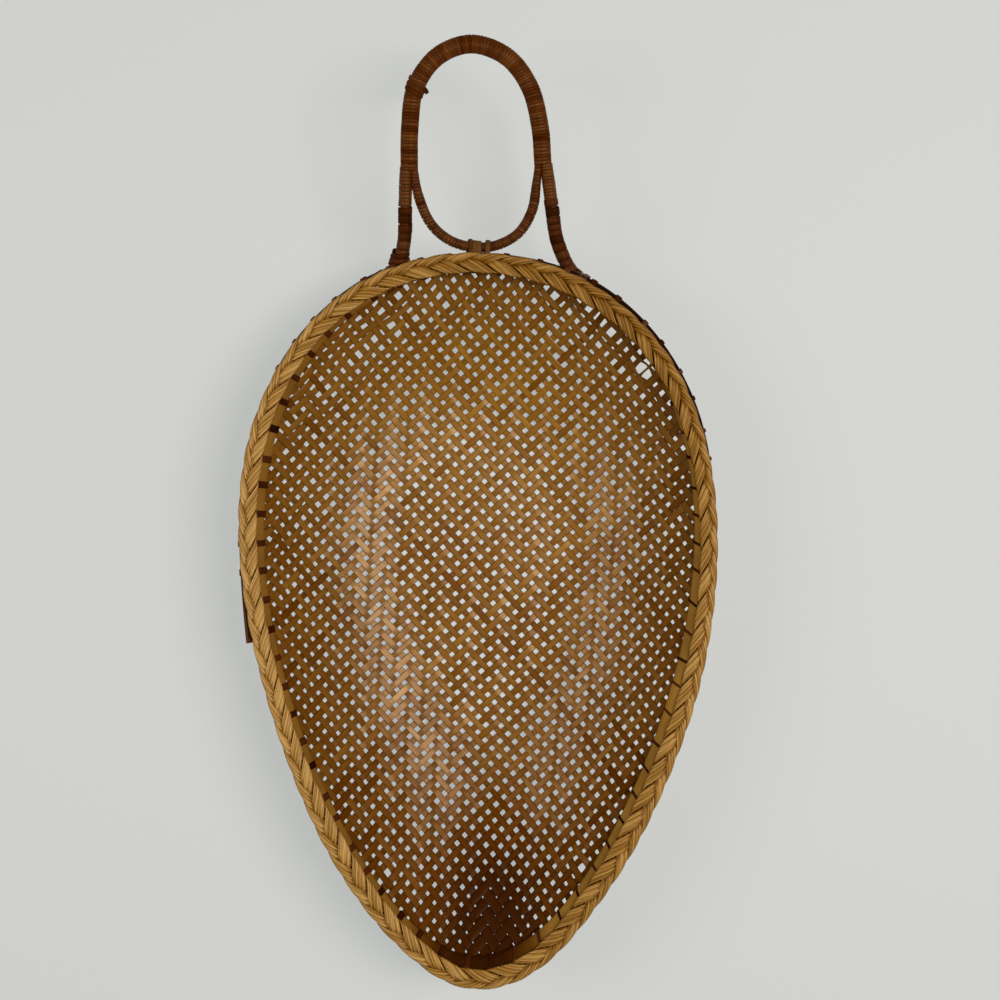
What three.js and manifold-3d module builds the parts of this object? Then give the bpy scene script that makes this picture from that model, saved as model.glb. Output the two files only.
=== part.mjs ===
// Egg-shaped woven fruit basket with a plaited rim and a wrapped cane handle.
// Millimetres, +Z up, resting on its flat bottom. The handle end is at +Y, the narrow tip at -Y.
import * as THREE from 'three';
import { mergeGeometries, mergeVertices } from 'three/addons/utils/BufferGeometryUtils.js';
import Module from 'manifold-3d';

const wasm = await Module();
wasm.setup();

// Plan outline of the plait's outer edge: an egg, wide towards the handle
const RIM_LENGTH = 440;
const RIM_MID_HALF_WIDTH = 139.5;
const EGG_SKEW = 0.262;

// Rim: two bamboo hoops with the edge of the woven sheet between them, leaning out with the wall
const HOOP_TOP = 63;
const HOOP_WIDTH = 10;
const HOOP_THICKNESS = 2.2;
const HOOP_LEAN = THREE.MathUtils.degToRad(33);
const HOOP_EDGE_ROUND = 0.6;
const SHEET_SIDE_INSET = 4.8;
const SHEET_END_INSET = 3.5;
const SHEET_SLIDE = 2;
const FIT_GAP = 0.3;

// The outer hoop laps over itself on the left and its end springs away from the rim
const LAP_FIRST_STEP = 50;
const LAP_STEPS = 3;
const LAP_RAMP_STEPS = 4;
const TAIL_SPRING = 2.4;
const INNER_HOOP_BUTT_GAP = 0.0008;

// Woven sheet: a flat bottom, a wall that steepens upwards, a straight band between the hoops
const SHEET_THICKNESS = 1.6;
const BAND_WIDTH = 12.6;
const BAND_COVERED = 0.95;
const BOTTOM_SHARE = 0.35;
const WALL_POWER = 2.2;
const BOWL_CENTRE_Y = 40;
const WALL_RINGS = 5;
const RIM_STEPS = 64;

// Openings of the weave: square, in a plain grid on the bias, fewer and wider than the real ones
const WEAVE_PITCH = 34;
const WEAVE_OPENING = 13.6;
const WEAVE_BIAS = THREE.MathUtils.degToRad(45);
const WEAVE_CENTRE_Y = 20;
const WEAVE_ROWS_EACH_WAY = 7;
const WEAVE_TOP_LEVEL = 0.94;
const WEAVE_CUT_HEIGHT = 200;

// Plait of three flat strands laid on top of the hoops
const PLAIT_INSET = 4.9;
const PLAIT_REPEATS = 21;
const PLAIT_STEPS = 8;
const PLAIT_SWING = 3.8;
const PLAIT_RISE = 1.6;
const STRAND_WIDTH = 4;
const STRAND_THICKNESS = 1.6;
const STRAND_FLAT = 0.5;
const PLAIT_STRANDS = 3;

// Handle: a plane that rises from the outside of the rim
const HANDLE_TILT = THREE.MathUtils.degToRad(15);
const HANDLE_ROOT_Z = 58;
const OUTER_CANE_RADIUS = 2.8;
const INNER_CANE_RADIUS = 2;
const CANE_SIDES = 8;
const CANE_STEPS = 56;
const HUG_POINTS = 12;
const LEFT_FOOT_TURNS = [0.047, 0.058];
const RIGHT_FOOT_TURNS = [0.0535, 0.063];
const FOOT_DROP = 3.6;

// Outer cane between its feet, as across and along the handle plane, from left to right
const ARCH_POINTS = [
  [-45.6, 9], [-44.5, 30], [-43.8, 52], [-43, 76], [-39, 99.5], [-25, 117.5], [-4, 124.6],
  [18, 117], [32, 99.5], [38.5, 76], [40.5, 54], [43.7, 31], [47.5, 9],
];
// Inner cane below the forks, from the right fork round to the left one
const LOWER_LOOP_POINTS = [
  [34.4, 43], [32, 28], [24, 14.5], [11, 7.2], [-2, 5.8], [-17, 9.6], [-28.5, 19], [-36, 35],
];
const LEFT_FORK = 2;
const SPLICE = 4;
const RIGHT_FORK = 10;
const LOOP_BOTTOM = 4;

// Split rattan wound round the canes, and how many turns each length has here
const STRIP_THICKNESS = 0.6;
const STRIP_GAP = 0.8;
const STRIP_CLEARANCE = 0.35;
const PAIR_SHARES = [0.62, 0.55];
const STEPS_PER_TURN = 8;
const ARCH_WRAP_TURNS = 24;
const LEFT_ARCH_WRAP_TURNS = 9;
const LEFT_LEG_TURNS = 8;
const RIGHT_LEG_TURNS = 9;
const LOWER_LOOP_TURNS = 20;
const BINDING_TURNS = 3;
const BINDING_LENGTH = 13;
const BINDING_START = 1.5;
const LEG_WRAP_START = 16;
const FORK_BARE = 9;
const TIE_LENGTH = 12;
const SPLICE_WIDTH = 5;
const SPLICE_PROUD = 1;
const SPLICE_END_PROUD = 3;

const STRAW = { color: 0xc2944c, roughness: 0.55 };
const BAMBOO = { color: 0x8f6a28, roughness: 0.5 };
const DARK_BAMBOO = { color: 0x3a2516, roughness: 0.6 };
const SPLINT = { color: 0x9a6a22, roughness: 0.5 };
const CANE = { color: 0x6b3e1c, roughness: 0.55 };
const RATTAN = { color: 0x7d4b23, roughness: 0.5 };
const DARK_RATTAN = { color: 0x57301a, roughness: 0.55 };

const basket = new THREE.Group();

// Adds one named piece with its own material.
function addPiece(name, geometry, look) {
  geometry.computeVertexNormals();
  const mesh = new THREE.Mesh(geometry, new THREE.MeshStandardMaterial({ metalness: 0, ...look }));
  mesh.name = name;
  basket.add(mesh);
}

// Egg-shaped closed curve; turn 0 is the handle end and turns run clockwise seen from above.
class EggOutline {
  constructor(sideInset, endInset, slide) {
    this.halfWidth = RIM_MID_HALF_WIDTH - sideInset;
    this.halfLength = RIM_LENGTH / 2 - endInset;
    this.slide = slide;
  }

  point(turn) {
    const angle = 2 * Math.PI * turn;
    const x = this.halfWidth * Math.sin(angle) * (1 + EGG_SKEW * Math.cos(angle));
    return new THREE.Vector3(x, this.slide + this.halfLength * Math.cos(angle), 0);
  }

  outward(turn) {
    const step = 1e-4;
    const along = this.point(turn + step).sub(this.point(turn - step)).normalize();
    return new THREE.Vector3(-along.y, along.x, 0);
  }

  // A point beside the curve: outwards in plan, and at a height.
  beside(turn, out, height) {
    const spot = this.point(turn).addScaledVector(this.outward(turn), out);
    spot.z = height;
    return spot;
  }
}

// Turns spaced evenly along an outline's length.
function evenTurns(outline, count) {
  const samples = 2000;
  const reach = [0];
  for (let i = 1; i <= samples; i++) {
    reach.push(reach[i - 1] + outline.point(i / samples).distanceTo(outline.point((i - 1) / samples)));
  }
  const turns = [];
  let k = 0;
  for (let i = 0; i < count; i++) {
    const goal = (reach[samples] * i) / count;
    while (reach[k + 1] < goal) k++;
    turns.push((k + (goal - reach[k]) / (reach[k + 1] - reach[k])) / samples);
  }
  return turns;
}

// Skin over a row of sections with equal point counts, closed in a ring or capped by fans at both ends.
function loft(sections, ring) {
  const sides = sections[0].length;
  const points = sections.flat();
  const faces = [];
  const spans = ring ? sections.length : sections.length - 1;
  for (let i = 0; i < spans; i++) {
    const here = i * sides;
    const next = ((i + 1) % sections.length) * sides;
    for (let j = 0; j < sides; j++) {
      const k = (j + 1) % sides;
      faces.push(here + j, here + k, next + k, here + j, next + k, next + j);
    }
  }
  if (!ring) {
    const last = (sections.length - 1) * sides;
    const middle = (section) => {
      const sum = new THREE.Vector3();
      section.forEach((point) => sum.add(point));
      return sum.divideScalar(sides);
    };
    const start = points.push(middle(sections[0])) - 1;
    const end = points.push(middle(sections.at(-1))) - 1;
    for (let j = 0; j < sides; j++) {
      const k = (j + 1) % sides;
      faces.push(start, k, j, end, last + j, last + k);
    }
  }
  return closedGeometry(points, faces);
}

// Indexed geometry whose faces point outwards.
function closedGeometry(points, faces) {
  let volume = 0;
  for (let i = 0; i < faces.length; i += 3) {
    const [a, b, c] = faces.slice(i, i + 3).map((index) => points[index]);
    volume += a.dot(b.clone().cross(c));
  }
  const geometry = new THREE.BufferGeometry().setFromPoints(points);
  geometry.setIndex(volume > 0 ? faces : faces.reverse());
  return geometry;
}

// Solid for cutting, with the corners that its faces share merged.
function solidOf(geometry) {
  const bare = new THREE.BufferGeometry();
  bare.setAttribute('position', geometry.getAttribute('position'));
  bare.setIndex(geometry.getIndex());
  const merged = mergeVertices(bare);
  return new wasm.Manifold(new wasm.Mesh({
    numProp: 3,
    vertProperties: new Float32Array(merged.getAttribute('position').array),
    triVerts: new Uint32Array(merged.getIndex().array),
  }));
}

// A body with other solids cut out of it.
function cutAway(body, cutters) {
  const { vertProperties, triVerts } = solidOf(body).subtract(solidOf(cutters)).getMesh();
  const geometry = new THREE.BufferGeometry();
  geometry.setAttribute('position', new THREE.BufferAttribute(vertProperties, 3));
  geometry.setIndex(new THREE.BufferAttribute(triVerts, 1));
  return geometry;
}

// Woven sheet
const sheetEdge = new EggOutline(SHEET_SIDE_INSET, SHEET_END_INSET, SHEET_SLIDE);
const bandDrop = BAND_WIDTH * Math.cos(HOOP_LEAN);
const bandReach = BAND_WIDTH * Math.sin(HOOP_LEAN);

// Middle of the sheet: level is 0 at the bottom's edge, 1 at the hoops' lower edge and 2 at the top.
function sheetPoint(turn, level) {
  const brim = sheetEdge.beside(turn, -bandReach, HOOP_TOP - bandDrop);
  if (level > 1) {
    return brim.lerp(sheetEdge.beside(turn, 0, HOOP_TOP), (level - 1) * BAND_COVERED);
  }
  const share = BOTTOM_SHARE + (1 - BOTTOM_SHARE) * level;
  const floor = SHEET_THICKNESS / 2;
  return new THREE.Vector3(
    brim.x * share,
    BOWL_CENTRE_Y + (brim.y - BOWL_CENTRE_Y) * share,
    floor + (brim.z - floor) * Math.max(level, 0) ** WALL_POWER,
  );
}

// Point on the sheet's outer (+1) or inner (-1) face.
function sheetFace(turn, level, side) {
  const step = 1e-3;
  const around = sheetPoint(turn + step, level).sub(sheetPoint(turn - step, level));
  const up = sheetPoint(turn, level + step).sub(sheetPoint(turn, Math.max(level - step, 0)));
  const normal = up.cross(around).normalize();
  if (level === 0) normal.set(0, 0, -1);
  return sheetPoint(turn, level).addScaledVector(normal, (side * SHEET_THICKNESS) / 2);
}

const rimTurns = evenTurns(sheetEdge, RIM_STEPS);

// One skin up the bowl's outside, over its edge and down the inside, with the weave's openings cut in it.
function wovenBody() {
  const levels = [];
  for (let i = 0; i <= WALL_RINGS; i++) levels.push(i / WALL_RINGS);
  levels.push(2);
  const outer = levels.map((level) => rimTurns.map((turn) => sheetFace(turn, level, 1)));
  const inner = levels.map((level) => rimTurns.map((turn) => sheetFace(turn, level, -1)));
  return cutAway(loft([...outer, ...inner.reverse()], false), weaveOpenings());
}

// Square posts that stand where the weave is open, wherever a whole opening lies below the hoops.
function weaveOpenings() {
  const edge = rimTurns.map((turn) => sheetPoint(turn, WEAVE_TOP_LEVEL));
  const inside = (spot) => edge.every((from, i) => {
    const to = edge[(i + 1) % edge.length];
    return (to.x - from.x) * (spot.y - from.y) < (to.y - from.y) * (spot.x - from.x);
  });
  const centre = new THREE.Vector2(0, WEAVE_CENTRE_Y);
  const onBias = (across, along) => (
    new THREE.Vector2(across, along + WEAVE_CENTRE_Y).rotateAround(centre, WEAVE_BIAS)
  );
  const half = WEAVE_OPENING / 2;
  const corners = [[-half, -half], [half, -half], [half, half], [-half, half]];
  const posts = [];
  for (let i = -WEAVE_ROWS_EACH_WAY; i < WEAVE_ROWS_EACH_WAY; i++) {
    for (let j = -WEAVE_ROWS_EACH_WAY; j < WEAVE_ROWS_EACH_WAY; j++) {
      const [across, along] = [(i + 0.5) * WEAVE_PITCH, (j + 0.5) * WEAVE_PITCH];
      if (!corners.every(([x, y]) => inside(onBias(across + x, along + y)))) continue;
      const post = new THREE.BoxGeometry(WEAVE_OPENING, WEAVE_OPENING, WEAVE_CUT_HEIGHT);
      const spot = onBias(across, along);
      posts.push(post.rotateZ(WEAVE_BIAS).translate(spot.x, spot.y, 0));
    }
  }
  return mergeGeometries(posts);
}
addPiece('woven_body', wovenBody(), SPLINT);

// Hoops: a strip with eased edges, standing along the leaning band
const hoopMiddle = SHEET_THICKNESS / 2 + FIT_GAP + HOOP_THICKNESS / 2;

function hoopSection(turn, away) {
  const outward = sheetEdge.outward(turn);
  const across = outward.clone().multiplyScalar(Math.cos(HOOP_LEAN)).setZ(-Math.sin(HOOP_LEAN));
  const down = outward.clone().multiplyScalar(-Math.sin(HOOP_LEAN)).setZ(-Math.cos(HOOP_LEAN));
  const half = HOOP_THICKNESS / 2;
  const eased = half - HOOP_EDGE_ROUND;
  const top = sheetEdge.beside(turn, away / Math.cos(HOOP_LEAN), HOOP_TOP - eased * Math.sin(HOOP_LEAN));
  const corners = [
    [-eased, 0], [eased, 0],
    [half, HOOP_EDGE_ROUND], [half, HOOP_WIDTH - HOOP_EDGE_ROUND],
    [eased, HOOP_WIDTH], [-eased, HOOP_WIDTH],
    [-half, HOOP_WIDTH - HOOP_EDGE_ROUND], [-half, HOOP_EDGE_ROUND],
  ];
  return corners.map(([x, y]) => top.clone().addScaledVector(across, x).addScaledVector(down, y));
}

// The inner hoop's ends butt together at the handle end, under the plait.
function innerHoop() {
  const turns = [INNER_HOOP_BUTT_GAP, ...rimTurns.slice(1), 1 - INNER_HOOP_BUTT_GAP];
  return loft(turns.map((turn) => hoopSection(turn, -hoopMiddle)), false);
}
addPiece('inner_rim_hoop', innerHoop(), BAMBOO);

// The outer hoop starts on the left, runs once round by the tip and laps outside itself.
function outerHoop() {
  const lift = HOOP_THICKNESS + FIT_GAP;
  const sections = [];
  for (let i = 0; i <= RIM_STEPS + LAP_STEPS; i++) {
    const turn = rimTurns[(LAP_FIRST_STEP - i + 2 * RIM_STEPS) % RIM_STEPS];
    const ramp = THREE.MathUtils.smoothstep(i, RIM_STEPS - LAP_RAMP_STEPS, RIM_STEPS);
    const spring = TAIL_SPRING * Math.max(0, (i - RIM_STEPS) / LAP_STEPS) ** 2;
    sections.push(hoopSection(turn, hoopMiddle + lift * ramp + spring));
  }
  return loft(sections, false);
}
addPiece('outer_rim_hoop', outerHoop(), DARK_BAMBOO);

// Plait: each strand swings across the rim and rises over one neighbour and dips under the other
const plaitLine = new EggOutline(PLAIT_INSET, PLAIT_INSET, 0);
const plaitHeight = HOOP_TOP + FIT_GAP + PLAIT_RISE + STRAND_THICKNESS / 2;

function plaitStrand(index) {
  const turns = evenTurns(plaitLine, PLAIT_REPEATS * PLAIT_STEPS);
  const spot = (i) => {
    const phase = 2 * Math.PI * (i / PLAIT_STEPS + index / PLAIT_STRANDS);
    const turn = turns[(i + turns.length) % turns.length];
    const rise = PLAIT_RISE * Math.sin(2 * phase);
    return plaitLine.beside(turn, PLAIT_SWING * Math.sin(phase), plaitHeight + rise);
  };
  const sections = turns.map((turn, i) => {
    const along = spot(i + 1).sub(spot(i - 1)).normalize();
    const side = new THREE.Vector3(-along.y, along.x, 0).normalize();
    const up = along.clone().cross(side);
    const half = STRAND_WIDTH / 2;
    const thick = STRAND_THICKNESS / 2;
    const flat = STRAND_FLAT * half;
    const lens = [[half, 0], [flat, thick], [-flat, thick], [-half, 0], [-flat, -thick], [flat, -thick]];
    return lens.map(([x, y]) => spot(i).addScaledVector(side, x).addScaledVector(up, y));
  });
  return loft(sections, true);
}
for (let index = 0; index < PLAIT_STRANDS; index++) {
  addPiece(`plait_strand_${index + 1}`, plaitStrand(index), STRAW);
}

// Handle plane
const handleRootY = RIM_LENGTH / 2;
const handleUp = new THREE.Vector3(0, -Math.sin(HANDLE_TILT), Math.cos(HANDLE_TILT));

function handlePoint(across, along) {
  const y = handleRootY + along * Math.cos(HANDLE_TILT);
  return new THREE.Vector3(across, y, HANDLE_ROOT_Z + along * Math.sin(HANDLE_TILT));
}

// Foot of the outer cane, lying along the outer hoop.
function footPoint(turn) {
  const stripReach = OUTER_CANE_RADIUS + 2 * STRIP_CLEARANCE + STRIP_THICKNESS + FIT_GAP;
  const away = hoopMiddle + HOOP_THICKNESS / 2 + stripReach;
  const out = away * Math.cos(HOOP_LEAN) - FOOT_DROP * Math.sin(HOOP_LEAN);
  const drop = away * Math.sin(HOOP_LEAN) + FOOT_DROP * Math.cos(HOOP_LEAN);
  return sheetEdge.beside(turn, out, HOOP_TOP - drop);
}

const outerCane = new THREE.CatmullRomCurve3([
  footPoint(-LEFT_FOOT_TURNS[1]), footPoint(-LEFT_FOOT_TURNS[0]),
  ...ARCH_POINTS.map(([across, along]) => handlePoint(across, along)),
  footPoint(RIGHT_FOOT_TURNS[0]), footPoint(RIGHT_FOOT_TURNS[1]),
], false, 'centripetal');

// Frame on a cane: across lies in the handle plane and points to the outside of the arch.
function caneFrame(curve, at) {
  const along = curve.getTangentAt(at);
  const across = handleUp.clone().cross(along).normalize();
  return { at: curve.getPointAt(at), along, across, deep: along.clone().cross(across) };
}

// Share of a cane's length that lies nearest to a spot.
function nearestStation(curve, spot) {
  const samples = 1000;
  let best = 0;
  for (let i = 1; i < samples; i++) {
    const gain = curve.getPointAt(i / samples).distanceTo(spot) - curve.getPointAt(best).distanceTo(spot);
    if (gain < 0) best = i / samples;
  }
  return best;
}
const leftFork = nearestStation(outerCane, handlePoint(...ARCH_POINTS[LEFT_FORK]));
const splice = nearestStation(outerCane, handlePoint(...ARCH_POINTS[SPLICE]));
const rightFork = nearestStation(outerCane, handlePoint(...ARCH_POINTS[RIGHT_FORK]));

// The inner cane hugs the arch from fork to fork and closes below as an oval loop.
const caneSpacing = OUTER_CANE_RADIUS + INNER_CANE_RADIUS + FIT_GAP;
const hug = [];
for (let i = 0; i <= HUG_POINTS; i++) {
  const frame = caneFrame(outerCane, THREE.MathUtils.lerp(leftFork, rightFork, i / HUG_POINTS));
  hug.push(frame.at.addScaledVector(frame.across, -caneSpacing));
}
const innerCane = new THREE.CatmullRomCurve3(
  [...hug, ...LOWER_LOOP_POINTS.map(([across, along]) => handlePoint(across, along))],
  true,
  'centripetal',
);

function cane(curve, radius, ring) {
  const sections = [];
  const count = ring ? CANE_STEPS : CANE_STEPS + 1;
  for (let i = 0; i < count; i++) {
    const { at, across, deep } = caneFrame(curve, i / CANE_STEPS);
    const section = [];
    for (let j = 0; j < CANE_SIDES; j++) {
      const angle = (2 * Math.PI * (j + 0.5)) / CANE_SIDES;
      section.push(at.clone()
        .addScaledVector(across, radius * Math.cos(angle))
        .addScaledVector(deep, radius * Math.sin(angle)));
    }
    sections.push(section);
  }
  return loft(sections, ring);
}
addPiece('handle_outer_cane', cane(outerCane, OUTER_CANE_RADIUS, false), CANE);
addPiece('handle_inner_cane', cane(innerCane, INNER_CANE_RADIUS, true), CANE);

// Eight corners of the wrap's path round one cane, or round two canes side by side.
const caneFlat = Math.cos(Math.PI / CANE_SIDES);
const octagonShare = Math.tan(Math.PI / STEPS_PER_TURN);

function wrapCorners(halfAcross, halfDeep, acrossShare = octagonShare, deepShare = octagonShare) {
  const quarter = [[1, deepShare], [acrossShare, 1], [-acrossShare, 1], [-1, deepShare]];
  const corners = [...quarter, ...quarter.map(([x, y]) => [-x, -y])];
  return corners.map(([x, y]) => new THREE.Vector2(x * halfAcross, y * halfDeep));
}

function roundCorners(radius) {
  const half = radius * caneFlat + STRIP_CLEARANCE;
  return wrapCorners(half, half);
}

const pairAcross = (caneSpacing + (OUTER_CANE_RADIUS + INNER_CANE_RADIUS) * caneFlat) / 2 + STRIP_CLEARANCE;
const pairDeep = OUTER_CANE_RADIUS * caneFlat + STRIP_CLEARANCE;
const pairShift = ((OUTER_CANE_RADIUS - INNER_CANE_RADIUS) * caneFlat - caneSpacing) / 2;
const pairCorners = wrapCorners(pairAcross, pairDeep, ...PAIR_SHARES);

// A wrap corner and the point above it on the strip's outside, at a station of a cane.
function stripEdge(curve, station, corner, proud, shift) {
  const { at, across, deep } = caneFrame(curve, station);
  const outside = corner.clone().setLength(corner.length() + proud);
  return [corner, outside].map(({ x, y }) => (
    at.clone().addScaledVector(across, x + shift).addScaledVector(deep, y)
  ));
}

// One unbroken flat strip wound round a cane between two stations; shift moves its middle across the plane.
function winding(name, { curve, from, to, turns, corners, shift = 0, look }) {
  const length = curve.getLength() * (to - from);
  const pitch = (length + STRIP_GAP) / (turns + 1);
  const half = (pitch - STRIP_GAP) / 2 / length;
  const steps = turns * STEPS_PER_TURN;
  const sections = [];
  for (let i = 0; i <= steps; i++) {
    const middle = THREE.MathUtils.lerp(half, 1 - half, i / steps);
    const corner = corners[i % STEPS_PER_TURN];
    const [near, far] = [middle - half, middle + half].map((share) => {
      const station = THREE.MathUtils.lerp(from, to, share);
      return stripEdge(curve, station, corner, STRIP_THICKNESS, shift);
    });
    sections.push([near[0], near[1], far[1], far[0]]);
  }
  let least = Infinity;
  for (let i = 0; i + STEPS_PER_TURN < sections.length; i++) {
    const next = sections[i + STEPS_PER_TURN];
    least = Math.min(least, sections[i][2].distanceTo(next[1]), sections[i][3].distanceTo(next[0]));
  }
  console.log(`${name}: ${turns} turns, least gap between turns ${least.toFixed(2)} mm`);
  addPiece(name, loft(sections, false), look);
}

const outerLength = outerCane.getLength();
const spliceHalf = (SPLICE_WIDTH / 2 + STRIP_GAP) / outerLength;
const pairWrap = { curve: outerCane, corners: pairCorners, shift: pairShift, look: RATTAN };
winding('left_arch_wrap', {
  ...pairWrap,
  from: leftFork,
  to: splice - spliceHalf,
  turns: LEFT_ARCH_WRAP_TURNS,
});
winding('arch_wrap', {
  ...pairWrap,
  from: splice + spliceHalf,
  to: rightFork,
  turns: ARCH_WRAP_TURNS,
});

const legWrap = { curve: outerCane, corners: roundCorners(OUTER_CANE_RADIUS), look: DARK_RATTAN };
const legStart = LEG_WRAP_START / outerLength;
const forkBare = FORK_BARE / outerLength;
winding('left_leg_wrap', {
  ...legWrap,
  from: legStart,
  to: leftFork - forkBare,
  turns: LEFT_LEG_TURNS,
});
winding('right_leg_wrap', {
  ...legWrap,
  from: rightFork + forkBare,
  to: 1 - legStart,
  turns: RIGHT_LEG_TURNS,
});

const bindingStart = BINDING_START / outerLength;
const bindingEnd = (BINDING_START + BINDING_LENGTH) / outerLength;
const binding = { ...legWrap, turns: BINDING_TURNS };
winding('left_foot_binding', { ...binding, from: bindingStart, to: bindingEnd });
winding('right_foot_binding', { ...binding, from: 1 - bindingEnd, to: 1 - bindingStart });

const [loopFrom, loopBottom, loopTo] = [0, LOOP_BOTTOM, LOWER_LOOP_POINTS.length - 1].map((index) => (
  nearestStation(innerCane, handlePoint(...LOWER_LOOP_POINTS[index]))
));
winding('lower_loop_wrap', {
  curve: innerCane,
  from: loopFrom,
  to: loopTo,
  turns: LOWER_LOOP_TURNS,
  corners: roundCorners(INNER_CANE_RADIUS),
  look: DARK_RATTAN,
});
const tieHalf = TIE_LENGTH / 2 / innerCane.getLength();
winding('rim_tie', {
  curve: innerCane,
  from: loopBottom - tieHalf,
  to: loopBottom + tieHalf,
  turns: BINDING_TURNS,
  corners: roundCorners(INNER_CANE_RADIUS + STRIP_CLEARANCE + STRIP_THICKNESS),
  look: RATTAN,
});

// Band where two strips meet on the arch; its cut end stands proud on the inside.
function spliceBand() {
  const half = SPLICE_WIDTH / 2 / outerLength;
  const sections = pairCorners.map((corner) => {
    const proud = corner.x < -pairAcross * PAIR_SHARES[0] ? SPLICE_END_PROUD : SPLICE_PROUD;
    const [near, far] = [splice - half, splice + half].map((station) => (
      stripEdge(outerCane, station, corner, proud, pairShift)
    ));
    return [near[0], near[1], far[1], far[0]];
  });
  return loft(sections, true);
}
addPiece('splice_band', spliceBand(), RATTAN);

// The origin is under the middle of the whole part, on the surface that it stands on.
const reach = new THREE.Box3().setFromObject(basket);
const middle = reach.getCenter(new THREE.Vector3());
basket.position.set(-middle.x, -middle.y, -reach.min.z);

export default basket;
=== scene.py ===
"""Egg-shaped woven fruit basket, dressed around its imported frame.

Sizes are in millimetres in the maker's own frame: the origin is under the middle of the rim's outline, on the
surface that the basket rests on, +Y points to the handle and +Z up. `place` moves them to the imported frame.
"""
import logging
import math
from collections.abc import Callable, Sequence
from dataclasses import dataclass
from enum import Enum
from typing import NamedTuple

import bmesh
import bpy
import numpy as np
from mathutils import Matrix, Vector


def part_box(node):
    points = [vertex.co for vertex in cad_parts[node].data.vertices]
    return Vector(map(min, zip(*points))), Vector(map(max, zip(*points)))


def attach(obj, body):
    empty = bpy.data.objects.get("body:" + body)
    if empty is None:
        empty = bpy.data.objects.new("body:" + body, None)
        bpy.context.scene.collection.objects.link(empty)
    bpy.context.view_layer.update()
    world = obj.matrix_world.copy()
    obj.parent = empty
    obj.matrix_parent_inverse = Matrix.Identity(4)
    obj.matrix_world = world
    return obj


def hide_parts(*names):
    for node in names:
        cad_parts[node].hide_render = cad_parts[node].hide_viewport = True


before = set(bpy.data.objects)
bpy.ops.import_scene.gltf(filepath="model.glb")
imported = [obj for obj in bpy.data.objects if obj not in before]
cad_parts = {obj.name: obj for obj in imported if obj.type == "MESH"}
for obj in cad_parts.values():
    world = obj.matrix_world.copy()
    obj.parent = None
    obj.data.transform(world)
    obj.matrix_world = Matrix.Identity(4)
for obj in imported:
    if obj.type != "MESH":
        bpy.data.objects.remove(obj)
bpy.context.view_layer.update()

log = logging.getLogger("basket")
Array = np.ndarray
Point = tuple[float, float, float]
Span = tuple[float, float]
Table = tuple[tuple[float, ...], ...]
MM = 0.001
TINY = 1e-6
BODY = "root"


# Helpers on arrays of points


def unit(vectors: Array) -> Array:
    """Vectors of length one, along the last axis."""
    return vectors / np.linalg.norm(vectors, axis=-1, keepdims=True)


def smoothstep(share: Array) -> Array:
    """Smooth rise from 0 to 1 as the share goes from 0 to 1."""
    share = np.clip(share, 0, 1)
    return share * share * (3 - 2 * share)


def ramp(value: Array, start: float, end: float) -> Array:
    """Smooth rise from 0 to 1 as a value goes from start to end, which may lie below start."""
    return smoothstep((value - start) / (end - start))


class Fade(NamedTuple):
    """An amount that comes in smoothly as a value goes from start to end."""

    amount: float
    start: float
    end: float

    def at(self, value: Array) -> Array:
        """How much of it there is at a value."""
        return self.amount * ramp(value, self.start, self.end)


def eased(share: Array, start: Array, end: Array, out: Array, into: Array) -> Array:
    """Points on a smooth way from start to end, with the headings out of one and into the other."""
    between = start + smoothstep(share) * (end - start)
    return between + share * (1 - share) ** 2 * out - share**2 * (1 - share) * into


def sampled(rows: Array, lengths: Array, at: Array) -> Array:
    """Rows of an array read at lengths along it, straight between rows."""
    return np.stack([np.interp(at, lengths, column) for column in rows.T], -1)


def read_round(table: Table, turn: Array) -> list[Array]:
    """Columns of a table read at turns round the rim; the first column holds the turns of its rows."""
    turns, *columns = np.array(table).T
    return [np.interp(turn, turns, column, period=1) for column in columns]


def run_lengths(points: Array) -> Array:
    """Length from the first point to each point of a line."""
    steps = np.linalg.norm(np.diff(points, axis=0), axis=1)
    return np.concatenate([[0], np.cumsum(steps)])


@dataclass(frozen=True)
class EggOutline:
    """Closed egg-shaped curve in plan; turn 0 is the handle end and turns run clockwise seen from above."""

    half_width: float
    half_length: float
    slide: float = 0.0
    skew: float = 0.262

    def point(self, turn: Array) -> Array:
        """Points of the curve at z 0."""
        angle = 2 * np.pi * np.asarray(turn, float)
        x = self.half_width * np.sin(angle) * (1 + self.skew * np.cos(angle))
        return np.stack([x, self.slide + self.half_length * np.cos(angle), 0 * x], -1)

    def outward(self, turn: Array) -> Array:
        """Unit vectors in plan that point away from the middle, square to the curve."""
        step = 1e-4
        along = unit(self.point(np.asarray(turn) + step) - self.point(np.asarray(turn) - step))
        return np.stack([-along[..., 1], along[..., 0], 0 * along[..., 0]], -1)

    def beside(self, turn: Array, out: float | Array, height: float | Array) -> Array:
        """Points beside the curve.

        Args:
            turn: where along the curve, in turns.
            out: how far outwards in plan.
            height: z of the points.

        Returns:
            The points, one row each.
        """
        spot = self.point(turn) + self.outward(turn) * np.asarray(out, float)[..., None]
        spot[..., 2] = height
        return spot

    def measured(self) -> tuple[Array, Array]:
        """Turns close together all round the curve, and the share of its length at each."""
        points_round = 4001
        turns = np.linspace(0, 1, points_round)
        lengths = run_lengths(self.point(turns))
        return turns, lengths / lengths[-1]

    def turn_at(self, share: Array) -> Array:
        """Turns at shares of the curve's length, counted from the handle end."""
        turns, shares = self.measured()
        return np.interp(share, shares, turns)

    def share_at(self, turn: Array) -> Array:
        """Shares of the curve's length at turns."""
        turns, shares = self.measured()
        return np.interp(turn, turns, shares)


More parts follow.
